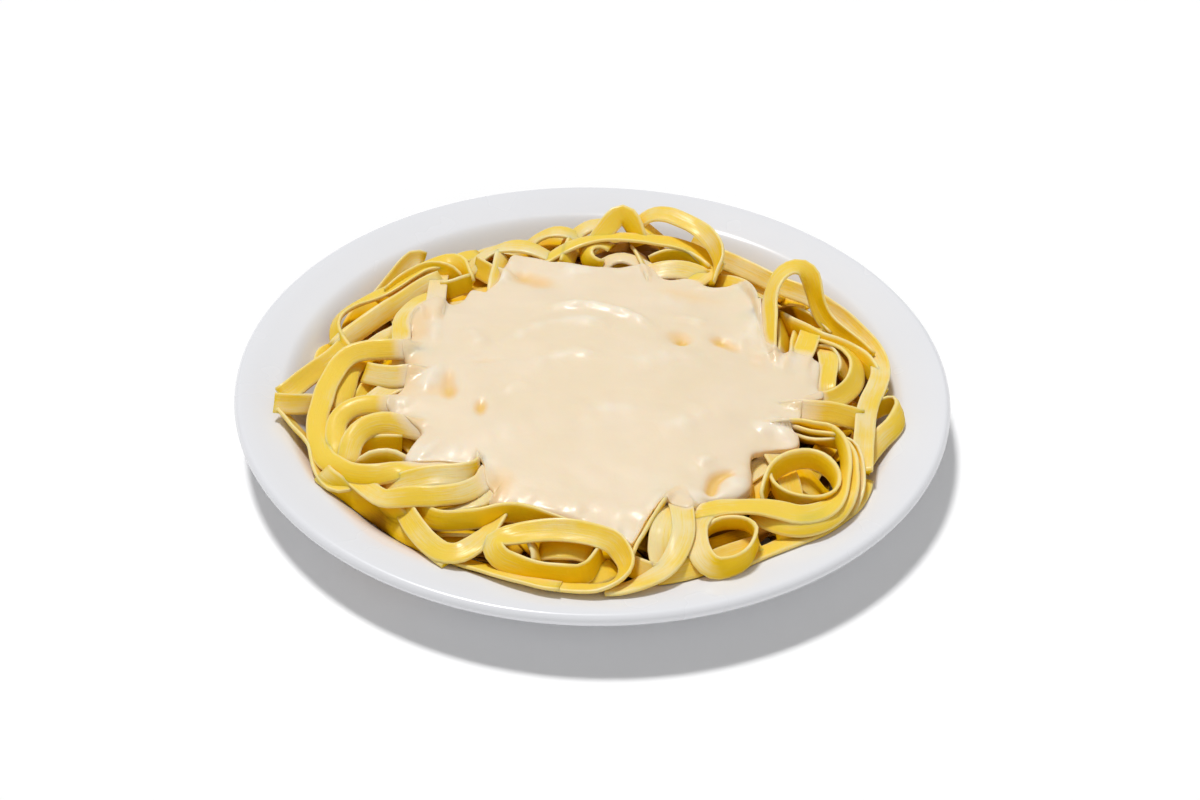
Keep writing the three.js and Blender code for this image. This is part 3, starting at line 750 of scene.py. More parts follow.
class Noodles:
    """Ribbons joined into one mesh, with what their material is told at each point."""

    def __init__(self):
        self.vertices = []
        self.faces = []
        self.runs = []
        self.rings = []
        self.coats = []
        self.count = 0

    def add(self, points, rolls, section, rng, coat):
        """Adds a noodle along points: a little cupped, ruffled and uneven in width."""
        width = NOODLE_WIDTH * rng.uniform(0.93, 1.07)
        along = np.concatenate(([0], np.cumsum(np.linalg.norm(np.diff(points, axis=0), axis=1))))
        tangent = unit(np.gradient(points, axis=0))
        side = unit(np.cross(tangent, (0, 0, 1)))
        rise = np.cross(side, tangent)
        turn = rolls[:, None]
        across = side * np.cos(turn) + rise * np.sin(turn)
        normal = np.cross(across, tangent)
        phase = rng.uniform(0, 6, 4)
        cup = 0.45 * np.sin(along / 17 + phase[0]) + 0.3 * rng.choice((-1, 1, 2))
        ruffle = 0.16 * np.sin(along / 5.5 + phase[1]) + 0.12 * np.sin(along / 2.9 + phase[2])
        swell = 1 + 0.03 * np.sin(along / 11 + phase[3])
        u, v = section[:, 0], section[:, 1]
        out = np.outer(swell, u) * width / 2
        up = (
            v[None] * NOODLE_THICKNESS / 2 * (1 - 0.12 * np.abs(u[None]) ** 3)
            + np.outer(cup, u**2)
            + np.outer(ruffle, u)
        )
        rings = points[:, None] + across[:, None] * out[..., None] + normal[:, None] * up[..., None]
        sunk = plate_height(rings[..., 0], rings[..., 1]) + PLATE_GAP - rings[..., 2]
        rings[..., 2] += np.maximum(0, sunk.max(axis=1))[:, None]
        around, first = len(section), self.count
        for k in range(len(points) - 1):
            a = first + k * around
            ring = [(a + i, a + (i + 1) % around) for i in range(around)]
            self.faces += [(i, j, j + around, i + around) for i, j in ring]
        last = first + (len(points) - 1) * around
        self.faces.append(tuple(range(first + around - 1, first - 1, -1)))
        self.faces.append(tuple(range(last, last + around)))
        self.vertices.append(rings.reshape(-1, 3))
        seed = rng.uniform(0, 1)
        run = np.empty((*rings.shape[:2], 3))
        run[..., 0] = along[:, None]
        run[..., 1] = u[None]
        run[..., 2] = seed
        self.runs.append(run.reshape(-1, 3))
        self.coats.append(np.full(rings.shape[0] * around, coat))
        self.rings.append(rings)
        self.count += rings.shape[0] * around


class HeightMap:
    """Heights over the plate on a square grid."""

    PITCH = 0.5
    REACH = 140

    def __init__(self, start):
        self.axis = np.arange(-self.REACH, self.REACH + self.PITCH / 2, self.PITCH)
        self.grid = np.full((len(self.axis),) * 2, float(start))

    def cells(self, x, y):
        """Indices of the grid's points nearest to these places."""
        steps = np.rint((np.stack((x, y)) + self.REACH) / self.PITCH).astype(int)
        return np.clip(steps, 0, len(self.axis) - 1)

    def read(self, x, y):
        """Heights at these places."""
        i, j = self.cells(x, y)
        return self.grid[i, j]

    def press(self, rings, choose):
        """Takes in the surface of a noodle: choose is np.maximum or np.minimum."""
        for share in np.linspace(0, 1, 6)[:-1]:
            between = rings[:-1] * (1 - share) + rings[1:] * share
            for blend in np.linspace(0, 1, 5)[:-1]:
                points = between * (1 - blend) + np.roll(between, -1, axis=1) * blend
                i, j = self.cells(points[..., 0], points[..., 1])
                choose.at(self.grid, (i, j), points[..., 2])


# The sauce's edge, anticlockwise from the back left: column, row, height and how thick its lip is
SAUCE_CENTRE = np.array((2.0, -9.0))
SAUCE_EDGE = [
    (513, 251, 33, 1.6), (507, 259, 33, 1.2), (502, 270, 33, 1), (498, 281, 33, 1),
    (486, 288, 33, 1.2), (472, 287, 32.5, 1.2), (463, 297, 32.5, 1.6), (450, 302, 32.5, 1.6),
    (438, 299, 33, 1), (427, 303, 32.5, 1.4), (415, 311, 32.5, 1.2), (409, 322, 32.5, 1.2),
    (411, 336, 32, 0.7), (404, 344, 32, 0.5), (403, 354, 31.5, 0.6), (408, 368, 31, 1.6),
    (404, 383, 31, 1.2), (394, 394, 30.5, 1), (387, 406, 30.5, 0.8), (398, 415, 30, 0.6),
    (409, 423, 29.5, 0.8), (421, 430, 29.5, 1.2), (415, 442, 29.5, 1.4), (405, 456, 29.5, 1),
    (416, 461, 29.5, 0.6), (438, 462, 29.5, 0.5), (462, 464, 29.5, 0.6), (483, 466, 29.5, 0.9),
    (484, 477, 29.5, 0.9), (487, 486, 29.5, 0.8), (494, 493, 29, 1.4), (489, 501, 29, 1),
    (500, 502, 29, 0.8), (520, 503.5, 29, 0.9), (545, 509, 29, 1.3), (567, 515, 28.5, 1.4),
    (586, 522, 28, 1.2), (604, 530, 27.5, 1), (619, 540, 27, 1), (630, 549, 26.5, 1.8),
    (638, 538, 27, 1.6), (646, 524, 27.5, 1), (654, 511, 28.5, 0.9), (664, 505, 29, 1.4),
    (676, 510, 29.5, 0.8), (690, 513, 29.5, 0.8), (704, 503, 29.5, 1.2), (721, 499, 29.5, 1.6),
    (735, 497, 29.5, 2), (749, 488, 29.5, 2.4), (752, 475, 29.5, 2.4), (750, 463, 29.5, 1.8),
    (754, 452, 30, 1.2), (775, 446, 30, 0.8), (795, 444, 30, 0.8), (799, 436, 30, 1.4),
    (788, 425, 30, 1), (799, 419, 30.5, 0.7), (803, 405, 30.5, 0.5), (812, 399, 30.5, 0.5),
    (824, 396, 30, 0.6), (819, 385, 30, 1), (819, 364, 30, 1.4), (808, 359, 30, 1),
    (797, 354, 30.5, 0.8), (786, 355, 30.5, 1), (773, 352, 31, 1.4), (765, 343, 31.5, 1.6),
    (761, 322, 32, 2), (759, 301, 33, 1.8), (751, 289, 33, 1.2), (735, 284.5, 33, 1.2),
    (715, 285, 33, 1.4), (699, 281, 33, 1), (683, 277, 33, 0.8), (661, 275, 33, 0.8),
    (650, 268, 33, 1.2), (630, 265, 33.5, 1.4), (606, 266.5, 33.5, 1.2), (588, 266, 33.5, 1.2),
    (566, 262, 33.5, 1.4), (545, 258, 33.5, 1.4), (527, 252.5, 33.5, 1.6),
]  # fmt: skip
SAUCE_SEGMENTS = 800
CURVE_STEPS = 24


def closed_curve(points, count):
    """Even points on a smooth closed curve, evened out in x and y."""
    looped = np.array(points + points[:3], float)
    t = np.linspace(0, 1, CURVE_STEPS, endpoint=False)[:, None]
    stretches = []
    for a, b, c, d in (looped[i : i + 4] for i in range(len(points))):
        bend, twist = 2 * a - 5 * b + 4 * c - d, 3 * b - a - 3 * c + d
        stretches.append(0.5 * (2 * b + (c - a) * t + bend * t**2 + twist * t**3))
    fine = np.vstack(stretches)
    steps = np.linalg.norm(np.diff(fine[:, :2], axis=0, append=fine[:1, :2]), axis=1)
    run = np.concatenate(([0], np.cumsum(steps)))
    even = np.linspace(0, run[-1], count, endpoint=False)
    return np.column_stack([np.interp(even, run, np.append(column, column[0])) for column in fine.T])


sauce_edge = closed_curve(seen(SAUCE_EDGE), SAUCE_SEGMENTS)
BATCH = 20000


def edge_distance(x, y):
    """Distance from the sauce's edge, positive inside it."""
    x, y = np.ravel(x), np.ravel(y)
    nearest = np.empty(len(x))
    inside = np.zeros(len(x), bool)
    edge_x, edge_y = sauce_edge[:, 0], sauce_edge[:, 1]
    step_x, step_y = np.roll(edge_x, -1) - edge_x, np.roll(edge_y, -1) - edge_y
    for start in range(0, len(x), BATCH):
        part = slice(start, start + BATCH)
        px, py = x[part, None], y[part, None]
        nearest[part] = np.sqrt(((px - edge_x) ** 2 + (py - edge_y) ** 2).min(axis=1))
        crosses = (edge_y > py) != (edge_y + step_y > py)
        meets = edge_x + (py - edge_y) * step_x / np.where(step_y == 0, 1, step_y)
        inside[part] = (crosses & (px < meets)).sum(axis=1) % 2 == 1
    return np.where(inside, nearest, -nearest)


# An end that comes within so much of the sauce runs on under it, and goes down
NEAR_SAUCE = 2.0
UNDER_SAUCE = 12.0
DIVE = 6.0


def tucked(way_points):
    """Way-points with both ends led on under the sauce where they reach its edge."""
    knots = [np.array(point, float) for point in way_points]
    for end, before in ((0, 1), (-1, -2)):
        if edge_distance(*knots[end][:2])[0] > -NEAR_SAUCE:
            onward = knots[end] - knots[before]
            level = unit(onward[:2]) * UNDER_SAUCE
            added = np.array((*(knots[end][:2] + level), knots[end][2] - DIVE, knots[end][3]))
            knots.insert(0 if end == 0 else len(knots), added)
    return knots


noodles = Noodles()
rng = np.random.default_rng(7)
for name, way_points in NOODLES.items():
    points, rolls = through(tucked(seen(way_points)), NOODLE_STEP)
    noodles.add(points, rolls, SECTION, rng, COATED.get(name, PLAIN_COAT))

# Noodles buried under those: they wander round the plate on the pile that is there already
# and duck under what lies on top. A try that finds no room for its shortest length is dropped.
BURIED_TRIES = 700
SHORTEST_BURIED = 38.0
BURIED_REACH = (30, 95)
BURIED_LEAN = 0.35
LEAN_WAVE = 0.25
PLACES_TRIED = 60
HEADING_SPREAD = 0.5
# How a buried noodle bends: at first, from step to step, and back to straight and to the ring
BEND_START = 0.02
BEND_CHANGE = 0.008
BEND_EASE = 0.05
RING_PULL = 0.0022
RING_INNER, RING_RADIUS, RING_OUTER = 58.0, 84.0, 103.0
BURIED_INNERMOST = 44.0
END_DIP = 2.2
# Radius, and how high the pile of buried noodles may come there
PILE_SLOPE = np.array([(0, 27), (78, 27), (90, 25), (98, 21), (104, 17), (112, 14)])
# Where the plate shows between noodles: x, y and radius
BARE_PLACES = [(-94, 26, 5), (-95, -43, 5), (104, 2, 7), (101, 30, 7), (30, 92, 6)]
CORE_RADIUS = 84.0
CORE_HEIGHT = 23.0
CORE_LUMPS = 1.2


def core_height(x, y):
    """Height of the lumpy mound in the middle of the heap."""
    mound = np.clip(1 - (np.hypot(x, y) / CORE_RADIUS) ** 6, 0, 1)
    lumps = CORE_LUMPS * np.sin(x / 7 + y / 12) * np.sin(y / 8 - x / 19)
    return WELL_HEIGHT + (CORE_HEIGHT - WELL_HEIGHT) * mound + lumps


def pile_limit(x, y):
    """How high buried noodles may come."""
    limit = np.interp(np.hypot(x, y), PILE_SLOPE[:, 0], PILE_SLOPE[:, 1])
    for bare_x, bare_y, size in BARE_PLACES:
        limit = np.where(np.hypot(x - bare_x, y - bare_y) < size, 0, limit)
    return limit


ceiling = HeightMap(99)
for rings in noodles.rings:
    ceiling.press(rings, np.minimum)
pile = HeightMap(0)
grid_x, grid_y = np.meshgrid(pile.axis, pile.axis, indexing="ij")
pile.grid = np.maximum(plate_height(grid_x, grid_y), core_height(grid_x, grid_y))


def smoothed(values, width):
    """Numbers along a line, smoothed by a Gaussian of so many steps."""
    weights = np.exp(-0.5 * (np.arange(-3 * width, 3 * width + 1) / width) ** 2)
    padded = np.pad(values, 3 * width, mode="edge")
    return np.convolve(padded, weights / weights.sum(), mode="valid")


def emptiest_place(rng):
    """Of some random places round the heap, the one with the most room above the pile."""
    angle = rng.uniform(0, 2 * math.pi, PLACES_TRIED)
    radius = rng.uniform(RING_INNER, RING_OUTER, PLACES_TRIED)
    x, y = radius * np.cos(angle), radius * np.sin(angle)
    room = np.minimum(ceiling.read(x, y), pile_limit(x, y)) - pile.read(x, y)
    best = np.argmax(room)
    return np.array((x[best], y[best]))


def wander(place, heading, length, rng):
    """Places along a route of soft arcs that keeps to the ring round the middle."""
    bend = rng.normal(0, BEND_START)
    route = []
    for _ in range(int(length / NOODLE_STEP)):
        outward = math.atan2(place[1], place[0])
        off = (math.hypot(*place) - RING_RADIUS) * RING_PULL
        bend += rng.normal(0, BEND_CHANGE) - bend * BEND_EASE
        heading += (bend - off * math.sin(outward - heading)) * NOODLE_STEP
        place = place + NOODLE_STEP * np.array((math.cos(heading), math.sin(heading)))
        route.append(place)
    return route


def wandering_route(rng):
    """Places along a noodle that wanders off both ways from an empty place."""
    place = emptiest_place(rng)
    heading = math.atan2(place[1], place[0]) + math.pi / 2 + rng.normal(0, HEADING_SPREAD)
    ahead = wander(place, heading, rng.uniform(*BURIED_REACH), rng)
    behind = wander(place, heading + math.pi, rng.uniform(*BURIED_REACH), rng)
    return np.array(behind[::-1] + [place] + ahead)


def longest_run(free):
    """The longest stretch of a row of yes and no that says yes."""
    turns = np.flatnonzero(np.diff(np.concatenate(([0], free.astype(int), [0]))))
    spans = list(zip(turns[::2], turns[1::2]))
    return slice(*max(spans, key=lambda span: span[1] - span[0])) if spans else slice(0, 0)


for _ in range(BURIED_TRIES):
    route = wandering_route(rng)
    x, y = route.T
    tangent = unit(np.gradient(route, axis=0))
    right = np.column_stack((tangent[:, 1], -tangent[:, 0])) * NOODLE_WIDTH / 2
    marks = np.linspace(-1, 1, 5)
    under = np.stack([pile.read(*(route + right * mark).T) for mark in marks])
    over = np.stack([ceiling.read(*(route + right * mark).T) for mark in marks]).min(axis=0)
    lean = rng.normal(0, BURIED_LEAN) + LEAN_WAVE * np.sin(np.arange(len(route)) / 9 + rng.uniform(0, 6))
    lean = lean + np.arctan(smoothed(under[-1] - under[0], 3) / NOODLE_WIDTH)
    rise = NOODLE_WIDTH / 2 * np.abs(np.sin(lean))
    bedding = smoothed(under.mean(axis=0) * 0.4 + under.max(axis=0) * 0.6, 3)
    level = bedding + NOODLE_THICKNESS * 0.6 + rise * 0.8
    roof = np.minimum(over - NOODLE_THICKNESS * 0.5, pile_limit(x, y) + 1)
    keep = longest_run((level + rise < roof) & (np.hypot(x, y) > BURIED_INNERMOST))
    if keep.stop - keep.start < SHORTEST_BURIED / NOODLE_STEP:
        continue
    steps = np.arange(len(x))
    to_end = np.minimum(steps - keep.start, keep.stop - 1 - steps)
    level -= END_DIP * np.clip(1 - to_end / 4, 0, 1) ** 2
    noodles.add(np.column_stack((x, y, level))[keep], lean[keep], PLAIN_SECTION, rng, PLAIN_COAT)
    pile.press(noodles.rings[-1], np.maximum)


def noodle_finish(name):
    """Cooked egg pasta: moist, finely streaked along its length, paler at the cut edges, partly as a
    painted highlight, and filmed with cream beside the sauce. Painted shade makes its upright faces
    gold and darkens it the deeper it lies in the heap."""
    finish = Finish(name)
    parts = finish.node("SeparateXYZ", {}, {"Vector": finish.attribute("run", "Vector")})
    along, across, seed = parts["X"], parts["Y"], parts["Z"]
    place = finish.place()
    cloud = finish.noise(place, 75, 3)
    drawn_out = {"X": along * 0.06 + seed * 50, "Y": across * 5, "Z": seed * 9}
    streaks = finish.noise(finish.node("CombineXYZ", {}, drawn_out)["Vector"], 1.6, 3, 0.6)
    grain = finish.noise(place, 900, 2)
    dimples = finish.noise(place, 260, 2)
    tone = cloud * 0.6 + streaks * 0.4 + (seed - 0.5) * 0.3 + across * (seed - 0.5) * 0.3
    colour = finish.mix(finish.ramp(tone, 0.4, 0.72), FULL_PASTA, PALE_PASTA)
    # Faces turned upright or downward are painted a deeper gold: painted shade on the noodles' sides
    facing = finish.upward() + (streaks - 0.5) * 0.4
    colour = finish.mix(finish.ramp(facing, 0.9, 0.25), colour, PASTA_PAINTED_SIDE_SHADE)
    # Cut edges are painted paler: partly their own paler colour, partly a painted highlight where the edges
    # catch the light
    edge = finish.ramp(across * across, 0.5, 0.95) * (0.2 + cloud * 0.6)
    colour = finish.mix(edge, colour, EDGE_PALE_AND_HIGHLIGHT)
    # Painted shade: the deeper a point lies in the heap, the darker and browner it is painted
    deep = finish.attribute("deep") + (cloud - 0.5) * 2.5 + (streaks - 0.5) * 2.0
    colour = finish.mix(finish.ramp(deep, 0.0, 5.0), colour, PASTA_PAINTED_SHADE)
    colour = finish.mix(finish.ramp(deep, 4.5, 10), colour, PASTA_PAINTED_DARK_SHADE)
    film = finish.attribute("cream") + (cloud - 0.5) * 0.4 + (streaks - 0.5) * 0.3
    colour = finish.mix(finish.ramp(film, 0.1, 0.6), colour, THIN_CREAM)
    colour = finish.mix(finish.ramp(film, 0.5, 1.0), colour, CREAM_COLOUR)
    return finish.close(
        {
            "Base Color": colour,
            "Roughness": finish.ramp(streaks * 0.5 + grain * 0.5, 0.3, 0.7, 0.34, 0.5),
            "Normal": finish.bump(streaks * 0.6 + grain * 0.15 + dimples * 0.8, 0.45, 0.5),
            "IOR": 1.45,
            "Specular IOR Level": 0.1,
            "Subsurface Weight": 0.35,
            "Subsurface Radius": (1.0, 0.7, 0.2),
            "Subsurface Scale": 2 * MM,
            "Coat Weight": finish.ramp(deep, 1.5, -1.5) * finish.ramp(streaks, 0.35, 0.7, 0.06, 0.4),
            "Coat Roughness": 0.22,
        }
    )


def blurred(grid, width):
    """A grid smoothed by a Gaussian of so many cells."""
    reach = int(3 * width)
    weights = np.exp(-0.5 * (np.arange(-reach, reach + 1) / width) ** 2)
    weights /= weights.sum()
    for axis in (0, 1):
        padded = np.pad(grid, [(reach, reach) if axis == k else (0, 0) for k in (0, 1)], mode="edge")
        grid = sum(
            weight * np.take(padded, np.arange(grid.shape[axis]) + k, axis=axis)
            for k, weight in enumerate(weights)
        )
    return grid


# How deep each point lies in the heap, for the painted shade that darkens the noodles the deeper they lie,
# and how near to the sauce, for their film of cream
LOWEST_CREAM = 20.0
CREAM_FADE = 6.0

for rings in noodles.rings[: len(NOODLES)]:
    pile.press(rings, np.maximum)
surroundings = HeightMap(0)
surroundings.grid = blurred(pile.grid, 5)
points = np.vstack(noodles.vertices)
heap = new_piece("noodles", points, noodles.faces, noodle_finish("egg_pasta"))
set_attribute(heap, "run", np.vstack(noodles.runs))
set_attribute(heap, "deep", surroundings.read(points[:, 0], points[:, 1]) - points[:, 2])
creamed = np.clip(1 + edge_distance(points[:, 0], points[:, 1]) / np.concatenate(noodles.coats), 0, 1)
set_attribute(heap, "cream", creamed * np.clip((points[:, 2] - LOWEST_CREAM) / CREAM_FADE, 0, 1))
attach(heap, "root")
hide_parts("fettuccine")

# The mound in the middle of the heap, of which only shade shows between the noodles. It is painted all over
# in the pasta's darkest painted shade.
CORE_RINGS = 40
CORE_SEGMENTS = 160
CORE_BASE = WELL_HEIGHT + 0.3
CORE_PAINTED_SHADE_DEPTH = 9.0

core_angles = np.arange(CORE_SEGMENTS) / CORE_SEGMENTS * 2 * math.pi
core_points = [(0, 0, core_height(0, 0))]
for share in np.linspace(0, 1, CORE_RINGS + 1)[1:]:
    x, y = share * CORE_RADIUS * np.cos(core_angles), share * CORE_RADIUS * np.sin(core_angles)
    core_points += list(zip(x, y, core_height(x, y)))
core_points = np.array(core_points + [(0, 0, CORE_BASE)])
core_points[:, 2] = np.maximum(core_points[:, 2], CORE_BASE)


def disc_faces(rings, segments, last):
    """Faces of rings of points round a first point, closed by a last point."""
    faces = [(0, 1 + k, 1 + (k + 1) % segments) for k in range(segments)]
    for ring in range(rings - 1):
        inner, outer = 1 + ring * segments, 1 + (ring + 1) * segments
        faces += [
            (inner + k, outer + k, outer + (k + 1) % segments, inner + (k + 1) % segments)
            for k in range(segments)
        ]
    outer = 1 + (rings - 1) * segments
    faces += [(outer + (k + 1) % segments, outer + k, last) for k in range(segments)]
    return faces


core_faces = disc_faces(CORE_RINGS, CORE_SEGMENTS, len(core_points) - 1)
core = new_piece("heap_core", core_points, core_faces, noodle_finish("buried_pasta_painted_shade"))
# The mound counts as lying deep in the heap, so it takes the darkest painted shade
set_attribute(core, "deep", np.full(len(core_points), CORE_PAINTED_SHADE_DEPTH))
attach(core, "root")


# ---------------------------------------------------------------------------
# Alfredo sauce
# Thick cream and cheese sauce ladled over the middle. It has set into a skin with soft
# folds, bulges over the noodles at its edge and hangs over them in rounded lobes.

DOME_HEIGHT = 5.0
DOME_PITCH = 2.0
DOME_REACH = 114.0
DOME_STEPS = 4000
EDGE_BAND = 7.0
SAUCE_FLOOR = 24.0
SOFTNESS = 0.6
THIN_FILM = 2.0
SAUCE_COLOUR = (0.837, 0.697, 0.494)
SAUCE_PALE = (0.862, 0.722, 0.532)
SAUCE_PAINTED_HIGHLIGHT = (0.885, 0.785, 0.63)
SAUCE_THIN_FILM_AND_SHADE = (0.87, 0.625, 0.345)
SAUCE_GOLD = (0.84, 0.55, 0.17)

# Dents where the sauce sank in between noodles: half length, half width, the heading of the
# length in degrees, depth, and how much gold is painted there, partly as the pasta showing through
# the thin sauce and partly as painted shade in the dent. The first ones are placed in the picture,
# by column, row and height, and the others by x and y.
SEEN_DENTS = [
    (679, 335, 36, 3.6, 3.2, 0, 1.3, 0.72), (731, 341, 36, 2.8, 2, -40, 0.9, 0.55),
    (448, 372, 36, 2, 4.2, 0, 1, 0.6), (450, 384, 36, 2.2, 3, 0, 1.2, 0.75),
    (434, 389, 33, 3.6, 2.6, 35, 0.4, 0.32), (480, 400, 36, 1.7, 3.2, 0, 1.2, 1),
    (728, 461, 36, 2.2, 1.5, 20, 1.4, 0.85), (719, 465, 36, 2, 1.8, 60, 2, 1),
    (713, 472, 36, 1.6, 2.4, 0, 2.2, 1.2), (711, 478, 36, 1.4, 1.6, 0, 1.5, 0.9),
    (538, 276, 36, 6.5, 3.4, -30, 1.4, 0.62), (521, 270, 36, 3, 3, 0, 0.8, 0.4),
    (488, 357, 36, 7, 1.6, 5, 0.25, 0.22), (752, 420, 36, 8, 6, 0, 0.5, 0),
    (500, 330, 36, 6, 14, -30, 0.5, 0.12), (760, 350, 36, 5, 8, 0, 0.4, 0.34),
    (660, 507, 33, 4, 2.4, 0, 0.2, 0.5), (648, 520, 33, 2.5, 5, -20, 0.2, 0.3),
    (800, 404, 33, 6, 3, 0, 0.2, 0.4), (765, 452, 36, 6, 2.5, 0, 0.2, 0.42),
    (566, 516, 33, 7, 1.6, -10, 0, 0.4),
]  # fmt: skip
LAID_DENTS = [
    (33, 8.6, 1.7, 1.2, 10, 1.1, 0.75), (47, 11.5, 2.4, 2.2, -30, 1.5, 0.95),
    (-33, -74, 4.5, 8, -15, 0.3, 0.62), (-67, 20, 6, 9, 0, 0.3, 0.5),
    (-68.5, -10, 5, 11, 0, 0.1, 0.52), (-66, -37, 6, 4, -20, 0.1, 0.45),
    (36, 40, 12, 5, -20, 0.1, 0.36),
]  # fmt: skip
DENTS = [(x, y, *shape) for x, y, _, *shape in seen(SEEN_DENTS)] + LAID_DENTS

# Soft folds: the two ends of each, its half width and its height. The ends of the first ones
# are columns and rows in the picture, all on the skin of the sauce, and the others' are x and y.
SKIN_HEIGHT = 35
SEEN_FOLDS = [
    ((548, 309), (606, 309), 1.8, 1.7), ((596, 309), (652, 330), 1.7, 1.6),
    ((560, 322), (612, 330), 2.2, 0.9), ((500, 345), (560, 322), 2.8, 0.9),
    ((520, 375), (590, 345), 3.4, 0.7), ((468, 325), (480, 350), 2.6, 0.8),
    ((424, 385), (441, 360), 1.8, 1.1), ((436, 340), (438, 315), 1.8, 1),
    ((414, 455), (442, 428), 1.8, 1), ((398, 398), (412, 390), 2, 0.8),
    ((505, 500), (545, 497), 2.2, 0.8), ((610, 499), (650, 500), 2, 0.9),
    ((584, 523), (604, 516), 2.2, 0.9), ((622, 527), (632, 514), 2.2, 1),
    ((698, 458), (716, 450), 2, 1.1), ((716, 481), (744, 492), 2.2, 0.9),
    ((745, 470), (747, 488), 2.4, 1), ((484, 285), (512, 268), 2.2, 1.1),
    ((505, 262), (520, 256), 2, 0.8), ((757, 340), (760, 310), 2.2, 1.1),
    ((760, 360), (766, 345), 2.2, 0.8), ((742, 345), (746, 328), 1.8, 0.8),
    ((786, 443), (800, 432), 2.4, 0.5), ((757, 422), (774, 417), 2.2, 0.8),
    ((640, 300), (700, 300), 4, 0.7), ((620, 370), (700, 355), 4, 0.7),
    ((560, 420), (650, 405), 4, 0.6), ((460, 440), (540, 420), 4, 0.6),
    ((660, 430), (740, 405), 3.6, 0.8), ((690, 287), (720, 289), 2, 0.6),
    ((560, 268), (600, 272), 2.2, 0.5),
]  # fmt: skip
LAID_FOLDS = [
    ((-13, -1.5), (5, -3), 1.8, 0.8), ((-33, -22), (-22, -17.5), 2, 0.7), ((30, 24), (44, 19), 1.8, 0.9),
]  # fmt: skip
FOLDS = [
    (sighted(*start, SKIN_HEIGHT), sighted(*end, SKIN_HEIGHT), *size) for start, end, *size in SEEN_FOLDS
] + LAID_FOLDS


def fold(x, y, start, end, width, height):
    """Height of a soft ridge that bows a little between its two ends."""
    start, end = np.array(start, float), np.array(end, float)
    way = end - start
    length = math.hypot(*way)
    share = np.clip(((x - start[0]) * way[0] + (y - start[1]) * way[1]) / (way @ way), 0, 1)
    arch = np.sin(share * math.pi)
    bow = 0.08 * length * arch
    normal = np.array((-way[1], way[0])) / length
    off_x = x - start[0] - share * way[0] - bow * normal[0]
    off_y = y - start[1] - share * way[1] - bow * normal[1]
    fade = 0.25 + 0.75 * arch * (1 + 0.22 * np.sin(share * length / 1.3))
    return height * fade * np.exp(-(off_x**2 + off_y**2) / (2 * width**2))


EDGE_FOLDS = 34
# How far a ridge may slant, how far outside the edge it starts, and its reach, widths and heights
FOLD_SLANT = 1.1
FOLD_START = 4
FOLD_REACH = (8, 18)
FOLD_WIDTHS = (1.8, 2.8)
FOLD_HEIGHTS = (0.3, 0.8)


def edge_folds(rng):
    """Ridges that run in from the edge, as over noodles that lie under the sauce."""
    folds = []
    for place in rng.permutation(SAUCE_SEGMENTS)[:EDGE_FOLDS]:
        outer = sauce_edge[place, :2]
        straight = unit(SAUCE_CENTRE - outer)
        slant = rng.uniform(-FOLD_SLANT, FOLD_SLANT)
        slanted = unit(np.array((straight[0] - straight[1] * slant, straight[1] + straight[0] * slant)))
        start, inner = outer - slanted * FOLD_START, outer + slanted * rng.uniform(*FOLD_REACH)
        folds.append((start, inner, rng.uniform(*FOLD_WIDTHS), rng.uniform(*FOLD_HEIGHTS)))
    return folds


FOLDS += edge_folds(np.random.default_rng(3))


def ridges(x, y):
    """Height of all the folds together."""
    return sum(fold(x, y, *crease) for crease in FOLDS)


def relief(x, y):
    """Unevenness of the sauce's upper face."""
    height = 0.4 * np.sin(x / 13 + y / 29) + 0.3 * np.sin(y / 11 - x / 37)
    height += 0.14 * np.sin(x / 3.7 + 1.3 * np.sin(y / 5.1)) * np.sin(y / 4.3 + 1.1 * np.sin(x / 6.3))
    for *oval, deepest, _ in DENTS:
        height -= deepest * nearness(x, y, *oval)
    return height + ridges(x, y)


def smoothed_round(values, width):
    """Numbers round a closed line, smoothed by a Gaussian of so many steps."""
    lap = 3 * width
    return smoothed(np.concatenate((values[-lap:], values, values[:lap])), width)[lap:-lap]


# The noodles under the sauce, one cell wider all round so that the sauce covers their edges
bed = HeightMap(0)
for shift in np.ndindex(3, 3):
    bed.grid = np.maximum(bed.grid, np.roll(pile.grid, np.subtract(shift, 1), axis=(0, 1)))
bed.grid = blurred(bed.grid, 1.4)
seat = HeightMap(0)
seat.grid = blurred(bed.grid, 4)

# Round its edge the sauce sits on the noodles where they are near, or else hangs free
lip = sauce_edge[:, 3]
clear = np.maximum(sauce_edge[:, 2] - lip - seat.read(*sauce_edge[:, :2].T), 0)
brim = sauce_edge[:, 2] + 0.5 * lip - clear * np.interp(clear, [2, 5], [1, 0])
brim = smoothed_round(brim, 3)

# The sauce's own level: a low dome hung between its brim, as a liquid skin would be
dome_axis = np.arange(-DOME_REACH, DOME_REACH + DOME_PITCH / 2, DOME_PITCH)
dome_x, dome_y = np.meshgrid(dome_axis, dome_axis, indexing="ij")
poured = (edge_distance(dome_x, dome_y) > 0).reshape(dome_x.shape)
off_edge = (dome_x[..., None] - sauce_edge[:, 0]) ** 2 + (dome_y[..., None] - sauce_edge[:, 1]) ** 2
dome = brim[off_edge.argmin(axis=2)]
radius = math.sqrt(poured.sum() * DOME_PITCH**2 / math.pi)
swelling = DOME_HEIGHT * (DOME_PITCH / radius) ** 2
dome[poured] += DOME_HEIGHT * np.sqrt(1 - np.hypot(dome_x, dome_y)[poured] / DOME_REACH)
for _ in range(DOME_STEPS):
    around = dome[2:, 1:-1] + dome[:-2, 1:-1] + dome[1:-1, 2:] + dome[1:-1, :-2]
    dome[1:-1, 1:-1] = np.where(poured[1:-1, 1:-1], around / 4 + swelling, dome[1:-1, 1:-1])


